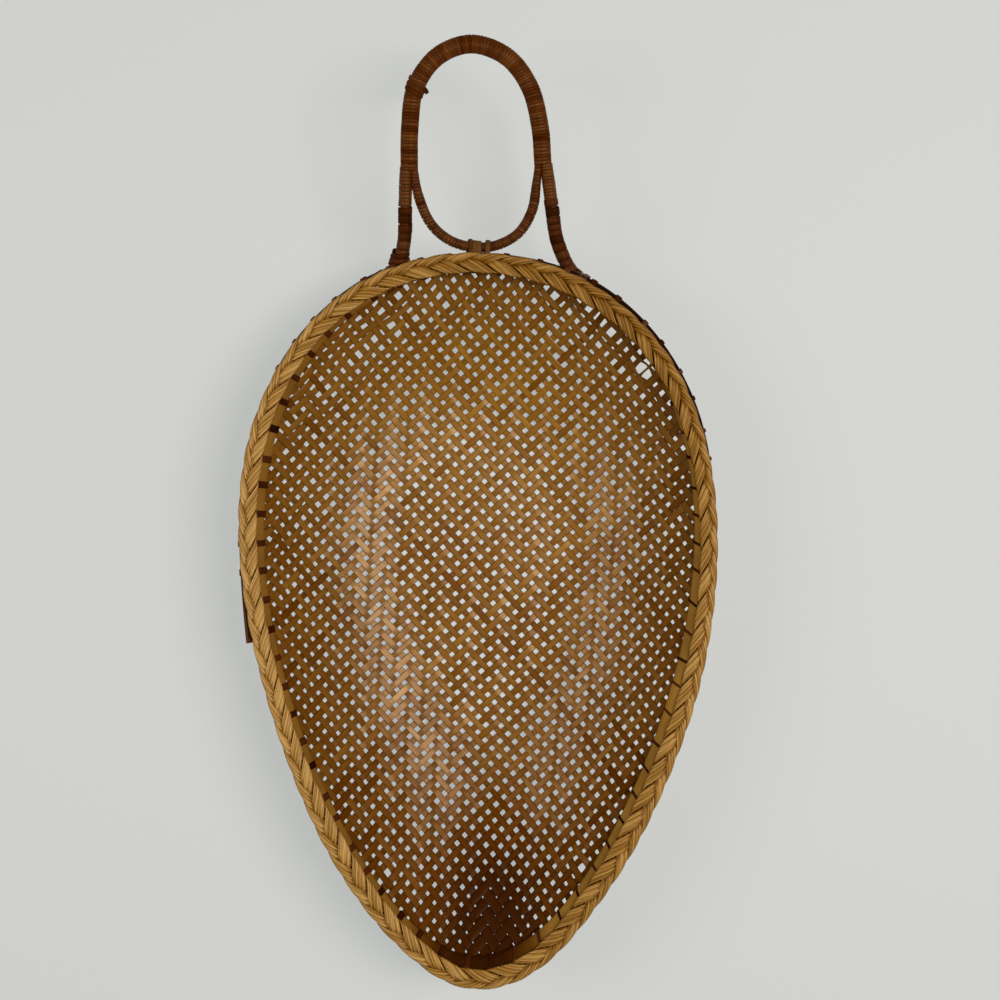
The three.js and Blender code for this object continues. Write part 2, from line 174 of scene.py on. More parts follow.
# Sizes that more than one sub-assembly needs, as in the frame
SHEET_EDGE = EggOutline(134.7, 216.5, 2.0)
HOOP_TOP = 63.0
HOOP_WIDTH = 10.0
HOOP_THICKNESS = 2.2
HOOP_LEAN = math.radians(33)
HOOP_MIDDLE = 2.2
HANDLE_ROOT_Y = 220.0
HANDLE_ROOT_Z = 58.0
HANDLE_TILT = math.radians(15)


def packed_origin() -> Array:
    """Where the maker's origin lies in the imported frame, from the woven body's box, in millimetres."""
    low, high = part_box("woven_body")
    middle = (np.array(low) + np.array(high)) / 2 / MM
    return np.array([middle[0], middle[1] - SHEET_EDGE.slide, 0])


ORIGIN = packed_origin()


def place(points: Array) -> Array:
    """Maker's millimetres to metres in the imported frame."""
    return (points + ORIGIN) * MM


def put(name: str, data: bpy.types.ID) -> bpy.types.Object:
    """A new object in the scene."""
    thing = bpy.data.objects.new(name, data)
    bpy.context.scene.collection.objects.link(thing)
    return thing


# Strips, straws and canes: a straight bar bent along a line


class Section(NamedTuple):
    """Shape of a bar across: how round its corners are (1 is an ellipse) and the least angle of an edge."""

    sides: int
    roundness: float
    edge_degrees: float


class Cut(Enum):
    """Ways to cut a bar."""

    SPLINT = Section(8, 0.42, 30)
    HOOP = Section(12, 0.3, 40)
    STRAW = Section(6, 0.9, 70)
    WRAP = Section(8, 0.38, 60)
    CORD = Section(8, 0.9, 70)
    CANE = Section(16, 1.0, 50)


@dataclass
class Run:
    """One length of bar: its line, the way its flat face looks at each point, and a number for its grain."""

    points: Array
    facing: Array
    width: float | Array
    thickness: float | Array
    tone: float | Array
    number: float
    closed: bool = False

    def lengths(self) -> Array:
        """Length along the line, on a closed one from both sides of its joint so that no step shows there."""
        lengths = run_lengths(self.points)
        return np.minimum(lengths, lengths[-1] - lengths) if self.closed else lengths

    def along(self) -> Array:
        """Unit vectors along the line."""
        if self.closed:
            ahead = np.roll(self.points[:-1], -1, 0) - np.roll(self.points[:-1], 1, 0)
            return unit(np.concatenate([ahead, ahead[:1]]))
        return unit(np.gradient(self.points, axis=0))


def straight_bar(rings: int, sides: int, capped: bool) -> bpy.types.Mesh:
    """A straight bar of radius 1 and length 1 along Z.

    Args:
        rings: number of rings of vertices along it.
        sides: number of vertices in a ring.
        capped: whether its ends are closed.

    Returns:
        The bar's mesh.
    """
    bm = bmesh.new()
    bmesh.ops.create_cone(bm, cap_ends=capped, segments=sides, radius1=1, radius2=1, depth=1)
    lengthwise = [edge for edge in bm.edges if abs(edge.verts[0].co.z - edge.verts[1].co.z) > 0.5]
    bmesh.ops.subdivide_edges(bm, edges=lengthwise, cuts=rings - 2)
    mesh = bpy.data.meshes.new("bar")
    bm.to_mesh(mesh)
    bm.free()
    return mesh


def bend(run: Run, cut: Cut) -> bpy.types.Mesh:
    """Bends a straight bar along a run, and notes on each vertex how it lies in the bar.

    Args:
        run: the line to follow.
        cut: the bar's shape across.

    Returns:
        The bent bar, with attributes for its finish: "lay" has millimetres along and across and the run's
        number, "tone" has its tone, and "edge" is 0 along its middle and 1 at its sides.
    """
    section = cut.value
    rings = len(run.points)
    mesh = straight_bar(rings, section.sides, not run.closed)
    straight = np.zeros(len(mesh.vertices) * 3)
    mesh.vertices.foreach_get("co", straight)
    x, y, z = straight.reshape(-1, 3).T
    ring = np.rint((z + 0.5) * (rings - 1)).astype(int)
    edge = np.abs(x) ** section.roundness
    face = np.abs(y) ** section.roundness
    across = np.sign(x) * edge * (np.broadcast_to(run.width, rings) / 2)[ring]
    proud = np.sign(y) * face * (np.broadcast_to(run.thickness, rings) / 2)[ring]
    along = run.along()
    normal = unit(run.facing - along * np.sum(run.facing * along, 1, keepdims=True))
    side = np.cross(normal, along)
    bent = run.points[ring] + side[ring] * across[:, None] + normal[ring] * proud[:, None]
    mesh.vertices.foreach_set("co", place(bent).ravel())
    lay = np.stack([run.lengths()[ring], across, np.full(len(ring), run.number)], -1)
    tone = np.broadcast_to(run.tone, rings)[ring]
    mesh.attributes.new("lay", "FLOAT_VECTOR", "POINT").data.foreach_set("vector", lay.ravel())
    for name, values in (("tone", tone), ("edge", edge)):
        mesh.attributes.new(name, "FLOAT", "POINT").data.foreach_set("value", np.ascontiguousarray(values))
    if run.closed:
        bm = bmesh.new()
        bm.from_mesh(mesh)
        bmesh.ops.remove_doubles(bm, verts=bm.verts, dist=TINY)
        bm.to_mesh(mesh)
        bm.free()
    mesh.shade_smooth()
    mesh.set_sharp_from_angle(angle=math.radians(section.edge_degrees))
    mesh.update()
    return mesh


def make_piece(name: str, runs: list[Run], cut: Cut, material: bpy.types.Material,
               nodes: tuple[str, ...] = ()) -> None:
    """Joins bent bars into one piece of the basket and rides it on the frame.

    Args:
        name: the piece's name.
        runs: the lines of its bars.
        cut: the bars' shape across.
        material: its finish.
        nodes: the frame's nodes that it stands for.
    """
    parts = [put(name, bend(run, cut)) for run in runs]
    piece = parts[0]
    if len(parts) > 1:
        with bpy.context.temp_override(active_object=piece, selected_editable_objects=parts):
            bpy.ops.object.join()
    piece.data.name = name
    piece.data.materials.append(material)
    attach(piece, BODY)
    if nodes:
        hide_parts(*nodes)
    log.info("%s: %d bars, %d faces", name, len(runs), len(piece.data.polygons))


# Finishes


def linear(hex_colour: str) -> tuple[float, float, float, float]:
    """Linear RGBA of an sRGB hex colour such as "#c2944c"."""
    channels = [int(hex_colour[i : i + 2], 16) / 255 for i in (1, 3, 5)]
    return (*[c / 12.92 if c <= 0.04045 else ((c + 0.055) / 1.055) ** 2.4 for c in channels], 1.0)


def new_material(name: str) -> tuple[bpy.types.Material, bpy.types.NodeTree]:
    """A material with an empty node tree, and the tree."""
    material = bpy.data.materials.new(name)
    material.use_nodes = True
    material.node_tree.nodes.clear()
    return material, material.node_tree


def add(tree: bpy.types.NodeTree, kind: str, settings: dict | None = None,
        links: dict | None = None) -> bpy.types.Node:
    """Adds a node to a tree.

    Args:
        tree: the node tree.
        kind: the shader node's type.
        settings: attributes of the node by name, and values of its inputs by socket name or number.
        links: what feeds its inputs, by socket name or number: a socket, or a node for its first output.

    Returns:
        The node.
    """
    node = tree.nodes.new("ShaderNode" + kind)
    for key, value in (settings or {}).items():
        if isinstance(key, str) and hasattr(node, key):
            setattr(node, key, value)
        else:
            node.inputs[key].default_value = value
    for key, source in (links or {}).items():
        socket = source.outputs[0] if isinstance(source, bpy.types.Node) else source
        tree.links.new(socket, node.inputs[key])
    return node


def remap(tree: bpy.types.NodeTree, value: bpy.types.Node | bpy.types.NodeSocket, given: Span, wanted: Span,
          kind: str = "LINEAR") -> bpy.types.Node:
    """Adds a node that maps a value from the given range to the wanted one."""
    ends = {1: given[0], 2: given[1], 3: wanted[0], 4: wanted[1]}
    return add(tree, "MapRange", {"interpolation_type": kind, **ends}, {0: value})


@dataclass(frozen=True)
class PlantFibre:
    """A strip of bamboo, rattan or straw: its tone of colour, with painted shade where its pieces carry it,
    fibres lengthwise and blotches of age.
    """

    name: str
    tones: tuple[str, ...]
    fibre_mm: float = 0.3
    fibre_length_mm: float = 12
    fibre_contrast: float = 0.2
    patch_length_mm: float = 9
    patch_contrast: float = 0.25
    # A patch is far wider than a strip, so that it tints the strip across
    patch_width_ratio: float = 4
    roughness: float = 0.45
    roughness_spread: float = 0.08
    relief_mm: float = 0.02
    relief_strength: float = 0.6
    # Dirt and painted shade darken the strip from this share of its half width to its edge
    dirt_and_shade_start: float = 0.6
    edge_dirt_and_shade: float = 0.4
    # Reflection drops with the tone, so that dark tones, painted shade and stain included, are dull and pale
    # ones shine
    shine: float = 0.25
    dull_share: float = 0.1
    shine_tones: Span = (0.3, 0.75)
    shine_colour: str = "#ffdfbc"
    noise_range: Span = (0.25, 0.75)
    noise_roughness: float = 0.6
    # Moves the noise on from strip to strip
    noise_shift: float = 61

    def material(self) -> bpy.types.Material:
        """The finish as a node material."""
        material, tree = new_material(self.name)
        lay = add(tree, "Attribute", {"attribute_name": "lay"}).outputs["Vector"]
        # The tone holds the piece's own tone and, on splints, straws and hoops, painted shade and light
        tone_and_painted_shade = add(tree, "Attribute", {"attribute_name": "tone"}).outputs["Fac"]
        edge = add(tree, "Attribute", {"attribute_name": "edge"}).outputs["Fac"]
        own = add(tree, "ValToRGB", links={0: tone_and_painted_shade})
        elements = own.color_ramp.elements
        for index, tone in enumerate(self.tones):
            element = elements[index] if index < 2 else elements.new(1)
            element.position = index / (len(self.tones) - 1)
            element.color = linear(tone)
        fibre = self.noise(tree, lay, self.fibre_length_mm, self.fibre_mm, 3)
        patch = self.noise(tree, lay, self.patch_length_mm, self.patch_width_ratio * self.patch_length_mm, 2)
        # Darker edges: dirt, and painted shade where strips meet and cross
        shade = remap(tree, edge, (self.dirt_and_shade_start, 1), (1, 1 - self.edge_dirt_and_shade), "SMOOTHSTEP")
        for noise, contrast in ((fibre, self.fibre_contrast), (patch, self.patch_contrast)):
            factor = remap(tree, noise, self.noise_range, (1 - contrast, 1 + contrast))
            shade = add(tree, "Math", {"operation": "MULTIPLY"}, {0: shade, 1: factor})
        colour = add(tree, "VectorMath", {"operation": "SCALE"}, {0: own, "Scale": shade})
        dry, smooth = self.roughness + self.roughness_spread, self.roughness - self.roughness_spread
        rough = remap(tree, fibre, (0, 1), (dry, smooth))
        relief = {"Strength": self.relief_strength, "Distance": self.relief_mm * MM}
        bump = add(tree, "Bump", relief, {"Height": fibre})
        # Less reflection in dark tones, where the painted shade and the stain lie
        gloss = remap(tree, tone_and_painted_shade, self.shine_tones, (self.dull_share * self.shine, self.shine))
        shader = add(tree, "BsdfPrincipled", {"IOR": 1.5, "Specular Tint": linear(self.shine_colour)},
                     {"Base Color": colour, "Roughness": rough, "Normal": bump, "Specular IOR Level": gloss})
        add(tree, "OutputMaterial", links={"Surface": shader})
        return material

    def noise(self, tree: bpy.types.NodeTree, lay: bpy.types.NodeSocket, length_mm: float, width_mm: float,
              detail: float) -> bpy.types.Node:
        """Noise drawn out along the strip.

        Args:
            tree: the node tree.
            lay: the strip's own coordinates, in millimetres.
            length_mm: how long a streak is.
            width_mm: how wide a streak is.
            detail: octaves of finer noise.

        Returns:
            The noise, about 0.5 on average.
        """
        stretch = (1 / length_mm, 1 / width_mm, self.noise_shift)
        drawn_out = add(tree, "VectorMath", {"operation": "MULTIPLY", 1: stretch}, {0: lay})
        settings = {"Scale": 1.0, "Detail": detail, "Roughness": self.noise_roughness}
        return add(tree, "TexNoise", settings, {"Vector": drawn_out})


# Split bamboo, scraped smooth and browned by age: satin, straight fine fibres, darkest with stain and painted
# shadow at the tip
SPLINT_BAMBOO = PlantFibre(
    "split_bamboo_splint", ("#341402", "#603404", "#754704", "#865907", "#986c20"), fibre_mm=0.7,
    fibre_length_mm=16, fibre_contrast=0.28, patch_length_mm=30, patch_contrast=0.18, roughness=0.37,
    relief_mm=0.03, edge_dirt_and_shade=0.45, shine=0.8)
# Straw in its own gold, bent while damp: a soft sheen along each stalk, with painted shade where it runs
# under
STRAW = PlantFibre(
    "plaited_straw", ("#2e1602", "#6a430c", "#956a26", "#c79f5c"), fibre_length_mm=18, fibre_contrast=0.36,
    patch_length_mm=30, patch_contrast=0.2, roughness=0.36, relief_mm=0.03, edge_dirt_and_shade=0.45, shine=0.5)
# Bamboo strip with the skin left on, yellow brown; its palest tone is painted light on one side of the rim,
# its darkest stain and painted shadow at the tip
HOOP_BAMBOO = PlantFibre(
    "bamboo_hoop", ("#351503", "#6a4009", "#b08436"), fibre_mm=0.5, fibre_length_mm=40, fibre_contrast=0.18,
    patch_length_mm=40, patch_contrast=0.24, roughness=0.4, edge_dirt_and_shade=0.35, shine=0.4)
# Bamboo strip stained almost black by smoke and handling
DARK_HOOP_BAMBOO = PlantFibre(
    "dark_bamboo_hoop", ("#241206", "#3a1f0c", "#6b3f1c"), fibre_mm=0.5, fibre_length_mm=40,
    patch_length_mm=90, edge_dirt_and_shade=0.35, shine=0.4)
# Split rattan wound tight: warm brown, each turn a little different as the strip changes along its length
RATTAN = PlantFibre(
    "wound_rattan", ("#3a1702", "#522703", "#683a09"), fibre_contrast=0.18, patch_length_mm=13,
    patch_contrast=0.26, roughness=0.42)
# The same on the legs and the loop, darker where hands and dust have worked in
DARK_RATTAN = PlantFibre("wound_dark_rattan", ("#301203", "#4c2407", "#64380f"), patch_contrast=0.3)
# Pale rattan of the tie, dry and rough
TIE_RATTAN = PlantFibre(
    "tie_rattan", ("#3a2008", "#553415", "#6e4a27"), roughness=0.55, edge_dirt_and_shade=0.5, shine=0.2)
# Thin dark rattan that sews the rim
LASHING_RATTAN = PlantFibre(
    "rim_lashing_rattan", ("#260f04", "#522409"), roughness=0.5, edge_dirt_and_shade=0.35, shine=0.2)


# Woven body


@dataclass
class WovenBody:
    """One sheet of splints in a two-over two-under twill, laid on the bias and draped over the bowl."""

    pitch: float = 7.0
    splint_width: float = 4.15
    width_range: Span = (0.91, 1.08)
    splint_thickness: float = 0.5
    crimp: float = 0.4
    # Share of a pitch in which a splint changes from over to under
    change_share: float = 0.6
    lay_turn: float = math.radians(-3.3)
    strips_each_way: int = 40
    steps: int = 4
    least_crossings: int = 3
    least_points: int = 4
    centre_y: float = 40.0
    bottom_share: float = 0.35
    wall_power: float = 2.2
    floor: float = 0.8
    band_width: float = 12.6
    trim_height: float = 61.0
    # How far a splint strays from its line, in waves of so many radians to a crossing, and how much more on
    # the upper walls, coming in along Y
    wander: float = 0.12
    wall_wander: Fade = Fade(0.75, -20, 100)
    wander_waves: tuple[float, ...] = (0.11, 0.27, 0.61)
    # Splints are cut wider at the wall's top, short of the handle end, and at the tip, and narrower low down
    wall_spread: Fade = Fade(0.2, 190, 130)
    wall_spread_power: int = 5
    tip_spread: float = 0.42
    tip_share: float = 0.33
    low_narrowing: Fade = Fade(0.04, -10, -90)
    # Spots where fingers have parted the weave, and one where the splints have frayed
    parted: Table = ((102.2, 152.6), (-58.0, -159.5), (63.0, -154.5))
    parted_reach: float = 5.5
    parted_ring: float = 0.6
    parted_push: float = 1.0
    frayed: Span = (101.0, 153.5)
    frayed_reach: float = 5.5
    fray_narrowing: float = 0.7
    # A splint's own tone and how it varies, then painted shade on the walls and over the tip's half, and
    # painted light over the handle's half, less of it on the walls
    tone: float = 0.68
    tone_spread: float = 0.08
    least_tone: float = 0.4
    painted_wall_shade: float = 0.16
    painted_tip_shade: Fade = Fade(0.14, -30, -150)
    painted_handle_light: Fade = Fade(0.2, 0, 150)
    painted_handle_light_wall_loss: float = 0.7
    # The stain at the tip, partly a real stain and partly painted shadow, an oval that comes in by shares of
    # its reach
    stain_and_shadow_centre: Span = (8.0, -190.0)
    stain_and_shadow_reach: Span = (50.0, 76.0)
    stain_and_shadow: Fade = Fade(1, 1.2, 0.2)
    stain_and_shadow_tone: float = 0.04
    seed: int = 11

    def __post_init__(self) -> None:
        """Works out the brim, where the wall meets the hoops, by its direction from the bowl's middle."""
        brim_points = 2001
        turns = np.linspace(0, 1, brim_points)
        self.brim_height = HOOP_TOP - self.band_width * math.cos(HOOP_LEAN)
        inset = self.band_width * math.sin(HOOP_LEAN)
        brim = SHEET_EDGE.beside(turns, -inset, self.brim_height) - [0, self.centre_y, 0]
        self.brim_angle = np.arctan2(brim[:, 0], brim[:, 1])
        self.brim_reach = np.hypot(brim[:, 0], brim[:, 1])
        radial = unit(brim * [1, 1, 0])
        self.brim_square = np.sum(radial * SHEET_EDGE.outward(turns), 1)

    def level(self, x: Array, y: Array) -> tuple[Array, Array, Array]:
        """Share of the wall climbed at a place in plan, distance past the brim and how square the brim is."""
        angle = np.arctan2(x, y - self.centre_y)
        reach = np.interp(angle, self.brim_angle, self.brim_reach, period=2 * np.pi)
        square = np.interp(angle, self.brim_angle, self.brim_square, period=2 * np.pi)
        away = np.hypot(x, y - self.centre_y)
        share = (away / reach - self.bottom_share) / (1 - self.bottom_share)
        return np.maximum(share, 0), away - reach, square

    def bowl_height(self, x: Array, y: Array) -> Array:
        """Height of the sheet's middle, with the wall's curve carried on past the brim."""
        return self.floor + (self.brim_height - self.floor) * self.level(x, y)[0] ** self.wall_power

    def sheet_height(self, x: Array, y: Array) -> Array:
        """Height of the sheet's middle, with the straight band between the hoops."""
        _, past, square = self.level(x, y)
        band = self.brim_height + past * square / math.tan(HOOP_LEAN)
        return np.where(past > 0, band, self.bowl_height(x, y))

    @staticmethod
    def slope(height: Callable[[Array, Array], Array], x: Array, y: Array) -> tuple[Array, Array]:
        """Rise of a height function along X and along Y."""
        step = 0.05
        rise_x = height(x + step, y) - height(x - step, y)
        rise_y = height(x, y + step) - height(x, y - step)
        return rise_x / (2 * step), rise_y / (2 * step)

    def first_strip(self, angle: float) -> Array:
        """A strip from the bowl's middle that runs straight ahead over the form, one point each crossing."""
        tries = 6
        here = np.array([0.0, self.centre_y, self.floor])
        heading = np.array([math.cos(angle), math.sin(angle), 0.0])
        points = [here]
        for _ in range(self.strips_each_way):
            ahead = here + heading * self.pitch
            for _ in range(tries):
                ahead[2] = self.bowl_height(ahead[0], ahead[1])
                ahead = here + unit(ahead - here) * self.pitch
            rise_x, rise_y = self.slope(self.bowl_height, ahead[0], ahead[1])
            normal = unit(np.array([-rise_x, -rise_y, 1.0]))
            step = ahead - here
            heading = unit(step - normal * np.dot(step, normal))
            points.append(ahead)
            here = ahead
        return np.array(points)

    def crossings(self) -> Array:
        """Where the strips cross: an even net that shears over the form but never stretches.

        Returns:
            Points by strip of the first kind, strip of the second kind and axis.
        """
        count = self.strips_each_way
        bias = math.pi / 4
        net = np.zeros((2 * count + 1, 2 * count + 1, 3))
        for sign, back in ((1, 0.0), (-1, math.pi)):
            net[count :: sign, count][: count + 1] = self.first_strip(-bias + self.lay_turn + back)
            net[count, count :: sign][: count + 1] = self.first_strip(bias + self.lay_turn + back)
        for i_sign, j_sign in ((1, 1), (1, -1), (-1, 1), (-1, -1)):
            for total in range(2, 2 * count + 1):
                steps = np.arange(max(1, total - count), min(count, total - 1) + 1)
                i = count + i_sign * steps
                j = count + j_sign * (total - steps)
                behind = net[i - i_sign, j - j_sign]
                net[i, j] = self.next_crossing(net[i - i_sign, j], net[i, j - j_sign], behind)
        return net

    def next_crossing(self, left: Array, right: Array, behind: Array) -> Array:
        """Points on the form one pitch from both neighbours, ahead of the crossing behind them.

        Args:
            left: crossings one strip back along the first kind.
            right: crossings one strip back along the second kind.
            behind: crossings one strip back along both.

        Returns:
            The new crossings.
        """
        tries = 7
        spot = left + right - behind
        for _ in range(tries):
            x, y = spot[:, 0], spot[:, 1]
            spot[:, 2] = self.bowl_height(x, y)
            rise = np.stack(self.slope(self.bowl_height, x, y), -1)
            (left_pull, left_miss), (right_pull, right_miss) = [
                (off[:, :2] + off[:, 2:] * rise, (np.sum(off**2, 1) - self.pitch**2) / 2)
                for off in (spot - left, spot - right)]
            cross = left_pull[:, 0] * right_pull[:, 1] - left_pull[:, 1] * right_pull[:, 0]
            cross = np.where(np.abs(cross) < 1, np.copysign(1, cross), cross)
            move_x = (right_miss * left_pull[:, 1] - left_miss * right_pull[:, 1]) / cross
            move_y = (left_miss * right_pull[:, 0] - right_miss * left_pull[:, 0]) / cross
            hold = np.minimum(1, self.pitch / 2 / np.maximum(np.hypot(move_x, move_y), TINY))
            spot = spot + np.stack([move_x * hold, move_y * hold, 0 * move_x], -1)
        spot[:, 2] = self.bowl_height(spot[:, 0], spot[:, 1])
        return spot

    @staticmethod
    def through(nodes: Array, at: Array) -> Array:
        """Points of a smooth line through crossings, at places counted in crossings."""
        low = np.clip(np.floor(at).astype(int), 0, len(nodes) - 2)
        tangent = np.gradient(nodes, axis=0)
        return eased((at - low)[:, None], nodes[low], nodes[low + 1], tangent[low], tangent[low + 1])

    def strayed(self, points: Array, at: Array, drift: Array) -> Array:
        """Points of a splint after its own wander to either side.

        Args:
            points: the splint's line.
            at: its places, counted in crossings.
            drift: how strong each wave of the wander is, by sine and by cosine.

        Returns:
            The moved points.
        """
        along = unit(np.gradient(points, axis=0))
        aside = np.stack([-along[:, 1], along[:, 0], 0 * along[:, 0]], -1)
        waves = np.array(self.wander_waves)[:, None] * at
        wander = np.sum(drift[:, :1] * np.sin(waves) + drift[:, 1:] * np.cos(waves), 0) / 2
        climbed = self.level(points[:, 0], points[:, 1])[0] ** 2
        loose = self.wander + self.wall_wander.at(points[:, 1]) * climbed
        return points + aside * (wander * loose)[:, None]

    def push_apart(self, points: Array) -> Array:
        """Moves splints aside round the few spots where fingers have parted the weave."""
        for spot in self.parted:
            off = points[:, :2] - spot
            away = np.linalg.norm(off, axis=1, keepdims=True) / self.parted_reach
            push = self.parted_push * np.exp(-((away - self.parted_ring) ** 2))
            points[:, :2] += off / np.maximum(away * self.parted_reach, TINY) * push * np.minimum(1, 3 * away)
        return points

    def wear(self, spots: Array, y: Array, level: Array, tone: float) -> tuple[Array, Array]:
        """How a splint's width and tone change along it.

        Args:
            spots: its places in plan.
            y: the same along Y on the sheet's middle.
            level: share of the wall climbed.
            tone: its own tone.

        Returns:
            Factors of its width, and its tones.
        """
        to_stain_and_shadow = np.hypot(*((spots - self.stain_and_shadow_centre) / self.stain_and_shadow_reach).T)
        to_fray = np.linalg.norm(spots - self.frayed, axis=1) / self.frayed_reach
        spread = 1 + self.wall_spread.at(y) * level**self.wall_spread_power - self.low_narrowing.at(y)
        spread += self.tip_spread * np.exp(-((to_stain_and_shadow / self.tip_share) ** 4))
        spread *= 1 - self.fray_narrowing * np.exp(-(to_fray**4))
        # Painted shade on the walls and towards the tip, painted light towards the handle end
        shade = self.painted_wall_shade * level**2 + self.painted_tip_shade.at(y)
        shade -= self.painted_handle_light.at(y) * (1 - self.painted_handle_light_wall_loss * level**2)
        # Stain and painted shadow at the tip
        stain_and_shadow = self.stain_and_shadow.at(to_stain_and_shadow)
        return spread, (tone - shade) * (1 - stain_and_shadow) + self.stain_and_shadow_tone * stain_and_shadow

    def strip(self, nodes: Array, over: Array, chance: np.random.Generator) -> Run | None:
        """One splint through its crossings, trimmed under the rim.

        Args:
            nodes: the crossings along it.
            over: 1 where it passes over, -1 where it passes under.
            chance: gives it a width, a tone and a wander of its own.

        Returns:
            The run, or None where hardly any of it lies inside the rim.
        """
        width = self.splint_width * chance.uniform(*self.width_range)
        tone = np.clip(chance.normal(self.tone, self.tone_spread), self.least_tone, 1)
        number = chance.uniform(0, 1)
        drift = chance.normal(0, 1, (len(self.wander_waves), 2))
        inside = np.flatnonzero(self.sheet_height(nodes[:, 0], nodes[:, 1]) < HOOP_TOP + self.pitch)
        if len(inside) < self.least_crossings:
            return None
        at = np.arange(inside[0], inside[-1] + TINY, 1 / self.steps)
        points = self.push_apart(self.strayed(self.through(nodes, at), at, drift))
        x, y = points[:, 0], points[:, 1]
        points[:, 2] = self.sheet_height(x, y)
        keep = points[:, 2] < self.trim_height
        if keep.sum() < self.least_points:
            return None
        rise_x, rise_y = self.slope(self.sheet_height, x, y)
        normal = unit(np.stack([-rise_x, -rise_y, np.ones_like(x)], -1))
        wave = np.interp(at, np.arange(len(nodes)), over)
        wave = 2 * smoothstep(0.5 + wave / (2 * self.change_share)) - 1
        points = points + normal * (wave * self.crimp)[:, None]
        spread, tones = self.wear(points[:, :2], y, self.level(x, y)[0], tone)
        widths = width * spread
        return Run(points[keep], normal[keep], widths[keep], self.splint_thickness, tones[keep], number)

    def build(self) -> None:
        """Weaves both kinds of strips and dresses them."""
        net = self.crossings()
        chance = np.random.default_rng(self.seed)
        i, j = np.indices(net.shape[:2])
        over = np.where((i + j) % 4 < 2, 1.0, -1.0)
        finish = SPLINT_BAMBOO.material()
        kinds = (("falling_splints", net.transpose(1, 0, 2), over.T), ("rising_splints", net, -over))
        for name, lines, ups in kinds:
            strips = [self.strip(nodes, up, chance) for nodes, up in zip(lines, ups)]
            runs = [strip for strip in strips if strip]
            make_piece(name, runs, Cut.SPLINT, finish, ("woven_body",))


# Rim


def hoop_frame(turn: Array) -> tuple[Array, Array]:
    """Across and down directions of the leaning band that the hoops stand along."""
    outward = SHEET_EDGE.outward(turn)
    across = outward * math.cos(HOOP_LEAN) - [0, 0, math.sin(HOOP_LEAN)]
    down = -outward * math.sin(HOOP_LEAN) - [0, 0, math.cos(HOOP_LEAN)]
    return across, down


def hoop_line(turn: Array, away: float | Array, depth: float | Array) -> Array:
    """Points away from the sheet's middle, and down the leaning band from the hoops' top."""
    top = SHEET_EDGE.beside(turn, np.asarray(away) / math.cos(HOOP_LEAN), HOOP_TOP)
    return top + hoop_frame(turn)[1] * depth


@dataclass
class RimHoops:
    """Inner and outer bamboo hoops; the outer one laps over itself on the left and its end springs out."""

    steps: int = 192
    # Turn round the rim, the width of the inner hoop there and its tone: paler from turn 0.2 to 0.42 as
    # painted light, and at the tip wider and dark with stain and painted shadow
    inner_lay: Table = (
        (0.0, 6.8, 0.7), (0.1, 6.8, 0.75), (0.2, 8.6, 0.95), (0.42, 8.6, 0.95), (0.47, 9.6, 0.05),
        (0.53, 9.6, 0.05), (0.58, 8.6, 0.7), (0.8, 8.6, 0.7), (0.9, 6.8, 0.7))
    # Tone of the outer hoop, and of its lapped end
    outer_tones: Span = (0.3, 0.9)
    lap_turn: float = 0.781
    lap_share: float = 0.051
    ramp_share: float = 0.0625
    fit_gap: float = 0.3
    tail_spring: float = 2.4
    # Turn round the rim where the stitches have let the outer hoop go, and how far out it lies near there
    loose: tuple[tuple[float, Fade], ...] = ((0.115, Fade(1.9, 0.105, 0.035)), (0.9, Fade(2.8, 0.09, 0.03)))
    shaving: float = 0.2
    first_node: float = 35.0
    node_spacing: float = 210.0
    node_reach: float = 2.5
    node_proud: float = 0.5

    def with_nodes(self, points: Array) -> Array:
        """Thickness of a bamboo strip, shaved flat and swollen at its nodes."""
        half = self.node_spacing / 2
        off_node = (run_lengths(points) + half - self.first_node) % self.node_spacing - half
        return HOOP_THICKNESS - self.shaving + self.node_proud * np.exp(-((off_node / self.node_reach) ** 2))

    def lift(self, share: Array, turn: Array) -> Array:
        """How far the outer hoop stands off its place.

        Args:
            share: the share of its way round, from its inner end.
            turn: where on the rim.

        Returns:
            How far out it lies: where it laps, at its sprung end and where the stitches have let it go.
        """
        lap = (HOOP_THICKNESS + self.fit_gap) * ramp(share, 1 - self.ramp_share, 1)
        spring = self.tail_spring * np.maximum(0, (share - 1) / self.lap_share) ** 2
        return lap + spring + sum(out.at(np.abs(turn - spot)) for spot, out in self.loose)

    def build(self) -> None:
        """Makes both hoops."""
        turns = SHEET_EDGE.turn_at(np.linspace(0, 1, self.steps + 1))
        # The inner hoop's tone holds painted light on one side and stain and painted shadow at the tip
        width, tones = read_round(self.inner_lay, turns)
        line = hoop_line(turns, -HOOP_MIDDLE, width[:, None] / 2)
        inner = Run(line, hoop_frame(turns)[0], width, self.with_nodes(line), tones, number=0.2, closed=True)
        finish = HOOP_BAMBOO.material()
        make_piece("inner_hoop", [inner], Cut.HOOP, finish, ("inner_rim_hoop",))
        share = np.linspace(0, 1 + self.lap_share, self.steps)
        turns = SHEET_EDGE.turn_at((SHEET_EDGE.share_at(self.lap_turn) - share) % 1)
        line = hoop_line(turns, HOOP_MIDDLE + self.lift(share, turns), HOOP_WIDTH / 2)
        tone, end_tone = self.outer_tones
        tones = tone + (end_tone - tone) * ramp(share, 1, 1 + self.lap_share)
        outer = Run(line, hoop_frame(turns)[0], HOOP_WIDTH, self.with_nodes(line), tones, number=0.7)
        finish = DARK_HOOP_BAMBOO.material()
        make_piece("outer_hoop", [outer], Cut.HOOP, finish, ("outer_rim_hoop",))


